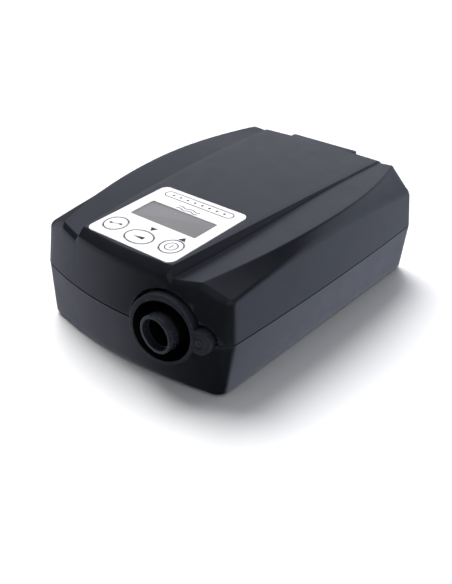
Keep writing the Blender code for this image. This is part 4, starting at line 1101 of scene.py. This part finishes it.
class Shading:
    """A node tree, with short ways to add nodes and to feed their sockets."""

    def __init__(self, tree):
        self.tree = tree

    def feed(self, socket, value):
        """Links another node's output to a socket, or sets it to a number, vector or colour."""
        if isinstance(value, bpy.types.NodeSocket):
            self.tree.links.new(value, socket)
        else:
            socket.default_value = (*value, 1) if isinstance(value, tuple) else value

    def add(self, kind, output, inputs=None, **settings):
        node = self.tree.nodes.new("ShaderNode" + kind)
        for name, value in settings.items():
            setattr(node, name, value)
        for socket, value in (inputs or {}).items():
            self.feed(node.inputs[socket], value)
        return node.outputs[output]

    def mixed(self, share, first, second):
        return self.add("Mix", 2, {"Factor": share, 6: first, 7: second}, data_type="RGBA")

    def spread_over(self, value, low, high, start=0.3, end=0.7):
        """Maps a noise value onto a range."""
        ends = {"From Min": start, "From Max": end, "To Min": low, "To Max": high}
        return self.add("MapRange", "Result", {"Value": value, **ends})


class Finish(Shading):
    """A new material, textured in its object's own space."""

    def __init__(self, name):
        self.material = bpy.data.materials.new(name)
        self.material.use_nodes = True
        super().__init__(self.material.node_tree)
        self.space = self.add("TexCoord", "Object")

    def shade(self, **values):
        """Feeds the main shader's inputs, named with _ for each space."""
        for name, value in values.items():
            self.feed(self.tree.nodes["Principled BSDF"].inputs[name.replace("_", " ")], value)

    def noise(self, scale, detail=2.0):
        return self.add("TexNoise", "Fac", {"Vector": self.space, "Scale": scale, "Detail": detail})

    def uneven(self, scale, low, high, detail=2.0):
        """A value that wanders between two."""
        return self.spread_over(self.noise(scale, detail), low, high)

    def waves(self, scale, **settings):
        return self.add("TexWave", "Fac", {"Vector": self.space, "Scale": scale}, **settings)

    def bump(self, height, distance, strength):
        inputs = {"Strength": strength, "Distance": distance, "Height": height}
        return self.add("Bump", "Normal", inputs)


def surface(name, dark, light, rough, grain, grain_depth, metallic=0.0, edge_wear_and_highlight=None, ior=1.5, tint=None):
    """A solid material: two close tones, uneven gloss, a fine grain, and sharp edges painted lighter,
    partly as wear and partly as a painted highlight.
    """
    finish = Finish(name)
    colour = finish.mixed(finish.uneven(35, 0, 1, 3), dark, light)
    # Sharp edges painted lighter: partly edge wear, partly a painted highlight along the edges.
    if edge_wear_and_highlight:
        pointed = finish.add("NewGeometry", "Pointiness")
        colour = finish.mixed(finish.spread_over(pointed, 0, 0.5, 0.53, 0.62), colour, edge_wear_and_highlight)
    grain_bump = finish.bump(finish.noise(grain), grain_depth, 0.5)
    finish.shade(Base_Color=colour, Roughness=finish.uneven(90, *rough, 4), Normal=grain_bump)
    finish.shade(Metallic=metallic, IOR=ior)
    if tint:
        finish.shade(Specular_Tint=tint)
    return finish.material


def make_materials():
    """The finished materials: one for each slot of the record, and four more: two for the outlet, one for
    the painted shade in its hollows, and one for the ink.
    """
    return {
        "case_plastic": surface(
            "satin_case_plastic",
            (0.009, 0.0096, 0.0125),
            (0.0115, 0.0122, 0.0155),
            (0.29, 0.35),
            1500,
            0.03 * MM,
            edge_wear_and_highlight=(0.075, 0.08, 0.1),
            ior=1.58,
            tint=(0.88, 0.94, 1.0),
        ),
        "flange": surface(
            "satin_flange_plastic",
            (0.024, 0.026, 0.035),
            (0.030, 0.032, 0.042),
            (0.30, 0.36),
            1500,
            0.02 * MM,
            edge_wear_and_highlight=(0.08, 0.085, 0.1),
            ior=1.58,
        ),
        "tube": surface(
            "outlet_plastic", (0.015, 0.017, 0.023), (0.020, 0.023, 0.030), (0.24, 0.30), 1500, 0.02 * MM
        ),
        # Near black for the outlet's hollows: a painted shade, not a plastic of its own.
        "inside": surface(
            "painted_hollow_shade", (0.002, 0.002, 0.003), (0.004, 0.004, 0.005), (0.7, 0.85), 900, 0.04 * MM, ior=1.2
        ),
        "keypad_film": surface(
            "keypad_film_white", (0.83, 0.83, 0.82), (0.87, 0.87, 0.86), (0.32, 0.4), 900, 0.02 * MM
        ),
        "ink": surface(
            "keypad_ink", (0.014, 0.014, 0.016), (0.022, 0.022, 0.025), (0.4, 0.5), 1200, 0.01 * MM
        ),
        "lcd_glass": screen_material(),
        "circuit_board": surface(
            "green_board", (0.012, 0.09, 0.04), (0.02, 0.14, 0.06), (0.3, 0.45), 700, 0.03 * MM
        ),
        "component_plastic": surface(
            "black_moulding", (0.012, 0.012, 0.013), (0.022, 0.022, 0.024), (0.4, 0.55), 1100, 0.03 * MM
        ),
        "clear_silicone": surface(
            "milky_silicone", (0.5, 0.51, 0.52), (0.6, 0.61, 0.62), (0.45, 0.6), 300, 0.05 * MM
        ),
        "black_rubber": surface(
            "black_rubber_soft", (0.012, 0.012, 0.012), (0.03, 0.03, 0.03), (0.7, 0.9), 800, 0.06 * MM
        ),
        "blower_plastic": surface(
            "grey_blower_plastic", (0.42, 0.43, 0.44), (0.5, 0.51, 0.52), (0.4, 0.55), 900, 0.04 * MM
        ),
        "plain_steel": surface(
            "plated_steel", (0.5, 0.5, 0.5), (0.64, 0.63, 0.6), (0.22, 0.38), 600, 0.02 * MM, metallic=1.0
        ),
        "dark_magnet": surface(
            "sintered_magnet", (0.08, 0.08, 0.085), (0.14, 0.14, 0.15), (0.4, 0.55), 900, 0.04 * MM, 0.8
        ),
        "copper_winding": winding_material(),
        "acoustic_foam": foam_material("open_cell_foam", (0.035, 0.035, 0.038), (0.09, 0.09, 0.095), 700),
        "filter_wool": foam_material("filter_wool_white", (0.62, 0.63, 0.64), (0.84, 0.85, 0.86), 1100),
    }


def screen_material():
    """A grey reflective display: faint cell rows behind glossy glass."""
    finish = Finish("grey_display")
    rows = finish.waves(520, wave_type="BANDS", bands_direction="X")
    tone = finish.spread_over(rows, 0.0, 0.25, 0.0, 1.0)
    colour = finish.mixed(tone, (0.19, 0.19, 0.19), (0.16, 0.16, 0.16))
    finish.shade(Base_Color=colour, Roughness=finish.uneven(120, 0.18, 0.28))
    return finish.material


def winding_material():
    """Enamelled copper wire laid in close turns."""
    finish = Finish("copper_winding_wire")
    turns = finish.waves(400, wave_type="RINGS", rings_direction="Z")
    finish.shade(
        Base_Color=finish.mixed(turns, (0.42, 0.16, 0.07), (0.7, 0.33, 0.16)),
        Normal=finish.bump(turns, 0.1 * MM, 0.8),
        Roughness=finish.uneven(200, 0.25, 0.4),
        Metallic=1.0,
    )
    return finish.material


def foam_material(name, dark, light, scale):
    """Open cells: dark pits between light strands."""
    finish = Finish(name)
    cells = finish.add("TexVoronoi", "Distance", {"Vector": finish.space, "Scale": scale})
    finish.shade(
        Base_Color=finish.mixed(finish.spread_over(cells, 0, 1, 0.1, 0.7), dark, light),
        Normal=finish.bump(cells, 0.4 * MM, 0.9),
        Roughness=finish.uneven(60, 0.85, 1.0),
    )
    return finish.material


def dress_cad_nodes(materials):
    """Every CAD piece that stays gets the finished material of its slot."""
    for part in frame["record"]["subparts"]:
        paint(frame["nodes"][part["node"]], materials[part["material_slot"]])


# ---------------- studio


ROOM_COLOUR = (0.022, 0.022, 0.024)
# direction, cosines at the rim and the core, colour
BRIGHT_PATCHES = (
    ((-0.42, 0.62, 0.62), 0.64, 0.96, (0.66, 0.67, 0.77)),
    ((0.46, 0.76, -0.36), 0.5, 0.92, (0.66, 0.7, 0.84)),
    ((-1.0, -0.2, -0.45), 0.65, 0.99, (0.58, 0.59, 0.69)),
    ((0.75, -0.4, 0.5), 0.6, 0.95, (0.28, 0.29, 0.33)),
)
FLOOR_HALF = 6.0
WALL_RADIUS, WALL_FOOT, WALL_TOP, WALL_SIDES = 5.9, -0.1, 5.0, 64
CAMERA_PLACE = (280.79 * MM, -335.58 * MM, 265.47 * MM)
CAMERA_TURN = (58.61 * DEG, 0, 40.36 * DEG)
CAMERA_LENS, SENSOR_WIDTH = 49.47, 36


def stage_object(name, vertices, faces, finish):
    """A part of the studio, which the case doesn't mirror."""
    mesh = bpy.data.meshes.new(name)
    mesh.from_pydata(vertices, [], faces)
    mesh.materials.append(finish.material)
    obj = new_object(name, mesh)
    obj.visible_glossy = False
    return obj


def make_floor():
    finish = Finish("studio_floor")
    tone = finish.mixed(finish.uneven(3, 0, 1), (0.9, 0.9, 0.9), (0.92, 0.92, 0.92))
    finish.shade(Base_Color=tone, Roughness=0.35)
    half = FLOOR_HALF
    corners = [(-half, -half, 0), (half, -half, 0), (half, half, 0), (-half, half, 0)]
    stage_object("floor", corners, [(0, 1, 2, 3)], finish)


def make_backdrop():
    """A pale round wall far behind, which only the camera sees."""
    finish = Finish("studio_backdrop")
    tone = finish.mixed(finish.uneven(2, 0, 1), (0.9, 0.9, 0.9), (0.94, 0.94, 0.94))
    finish.shade(Emission_Color=tone, Emission_Strength=1.0, Base_Color=(0, 0, 0))
    circle = ellipse((0, 0), WALL_RADIUS, WALL_RADIUS, WALL_SIDES)
    vertices = [(x, y, z) for z in (WALL_FOOT, WALL_TOP) for x, y in circle]
    after = [(k + 1) % WALL_SIDES for k in range(WALL_SIDES)]
    faces = [(k, n, WALL_SIDES + n, WALL_SIDES + k) for k, n in enumerate(after)]
    wall = stage_object("backdrop", vertices, faces, finish)
    wall.visible_diffuse = wall.visible_shadow = False


def make_world():
    """A dim room with broad bright patches, seen only as soft reflections."""
    world = bpy.data.worlds.new("studio")
    bpy.context.scene.world = world
    world.use_nodes = True
    room = Shading(world.node_tree)
    direction = room.add("TexCoord", "Generated")
    sky = ROOM_COLOUR
    for middle, rim, core, colour in BRIGHT_PATCHES:
        towards = {0: direction, 1: Vector(middle).normalized()}
        nearness = room.add("VectorMath", "Value", towards, operation="DOT_PRODUCT")
        ends = {"Value": nearness, "From Min": rim, "From Max": core}
        patch = room.add("MapRange", "Result", ends, interpolation_type="SMOOTHSTEP")
        sky = room.mixed(patch, sky, colour)
    room.feed(world.node_tree.nodes["Background"].inputs["Color"], sky)


def add_sun(name, azimuth, elevation, spread, strength):
    """A broad, distant light: an even soft box that the floor sees everywhere alike."""
    light = bpy.data.lights.new(name, "SUN")
    light.angle = spread
    light.energy = strength
    sun = new_object(name, light)
    sun.rotation_euler = (90 * DEG - elevation, 0, azimuth)
    sun.visible_glossy = False


def make_camera():
    data = bpy.data.cameras.new("camera")
    data.lens = CAMERA_LENS
    data.sensor_width = SENSOR_WIDTH
    camera = new_object("camera", data)
    camera.location = CAMERA_PLACE
    camera.rotation_euler = CAMERA_TURN
    bpy.context.scene.camera = camera


def make_studio():
    make_floor()
    make_backdrop()
    make_world()
    add_sun("soft_box", azimuth=243 * DEG, elevation=56 * DEG, spread=38 * DEG, strength=3.75)
    add_sun("fill_tent", azimuth=0, elevation=90 * DEG, spread=130 * DEG, strength=0.7)
    make_camera()
    bpy.context.scene.view_settings.view_transform = "Standard"


# ---------------- assembly


def build():
    materials = make_materials()
    dress_cad_nodes(materials)
    make_lower_case(materials["case_plastic"])
    make_upper_case(materials["case_plastic"])
    make_flange(materials["flange"], materials["inside"])
    make_rivet(materials["flange"])
    make_tube(materials["tube"], materials["inside"])
    make_filter_door(materials["case_plastic"])
    make_overlay(materials["keypad_film"])
    make_display_window(materials["lcd_glass"])
    for key in KEYS:
        make_key(key, materials["keypad_film"])
        make_key_print(key, materials["ink"])
    make_ramp_icon(materials["ink"])
    make_mode_icon(materials["ink"])
    make_power_icon(materials["ink"])
    make_pointers(materials["ink"])
    make_header_print(materials["ink"])
    make_studio()


build()
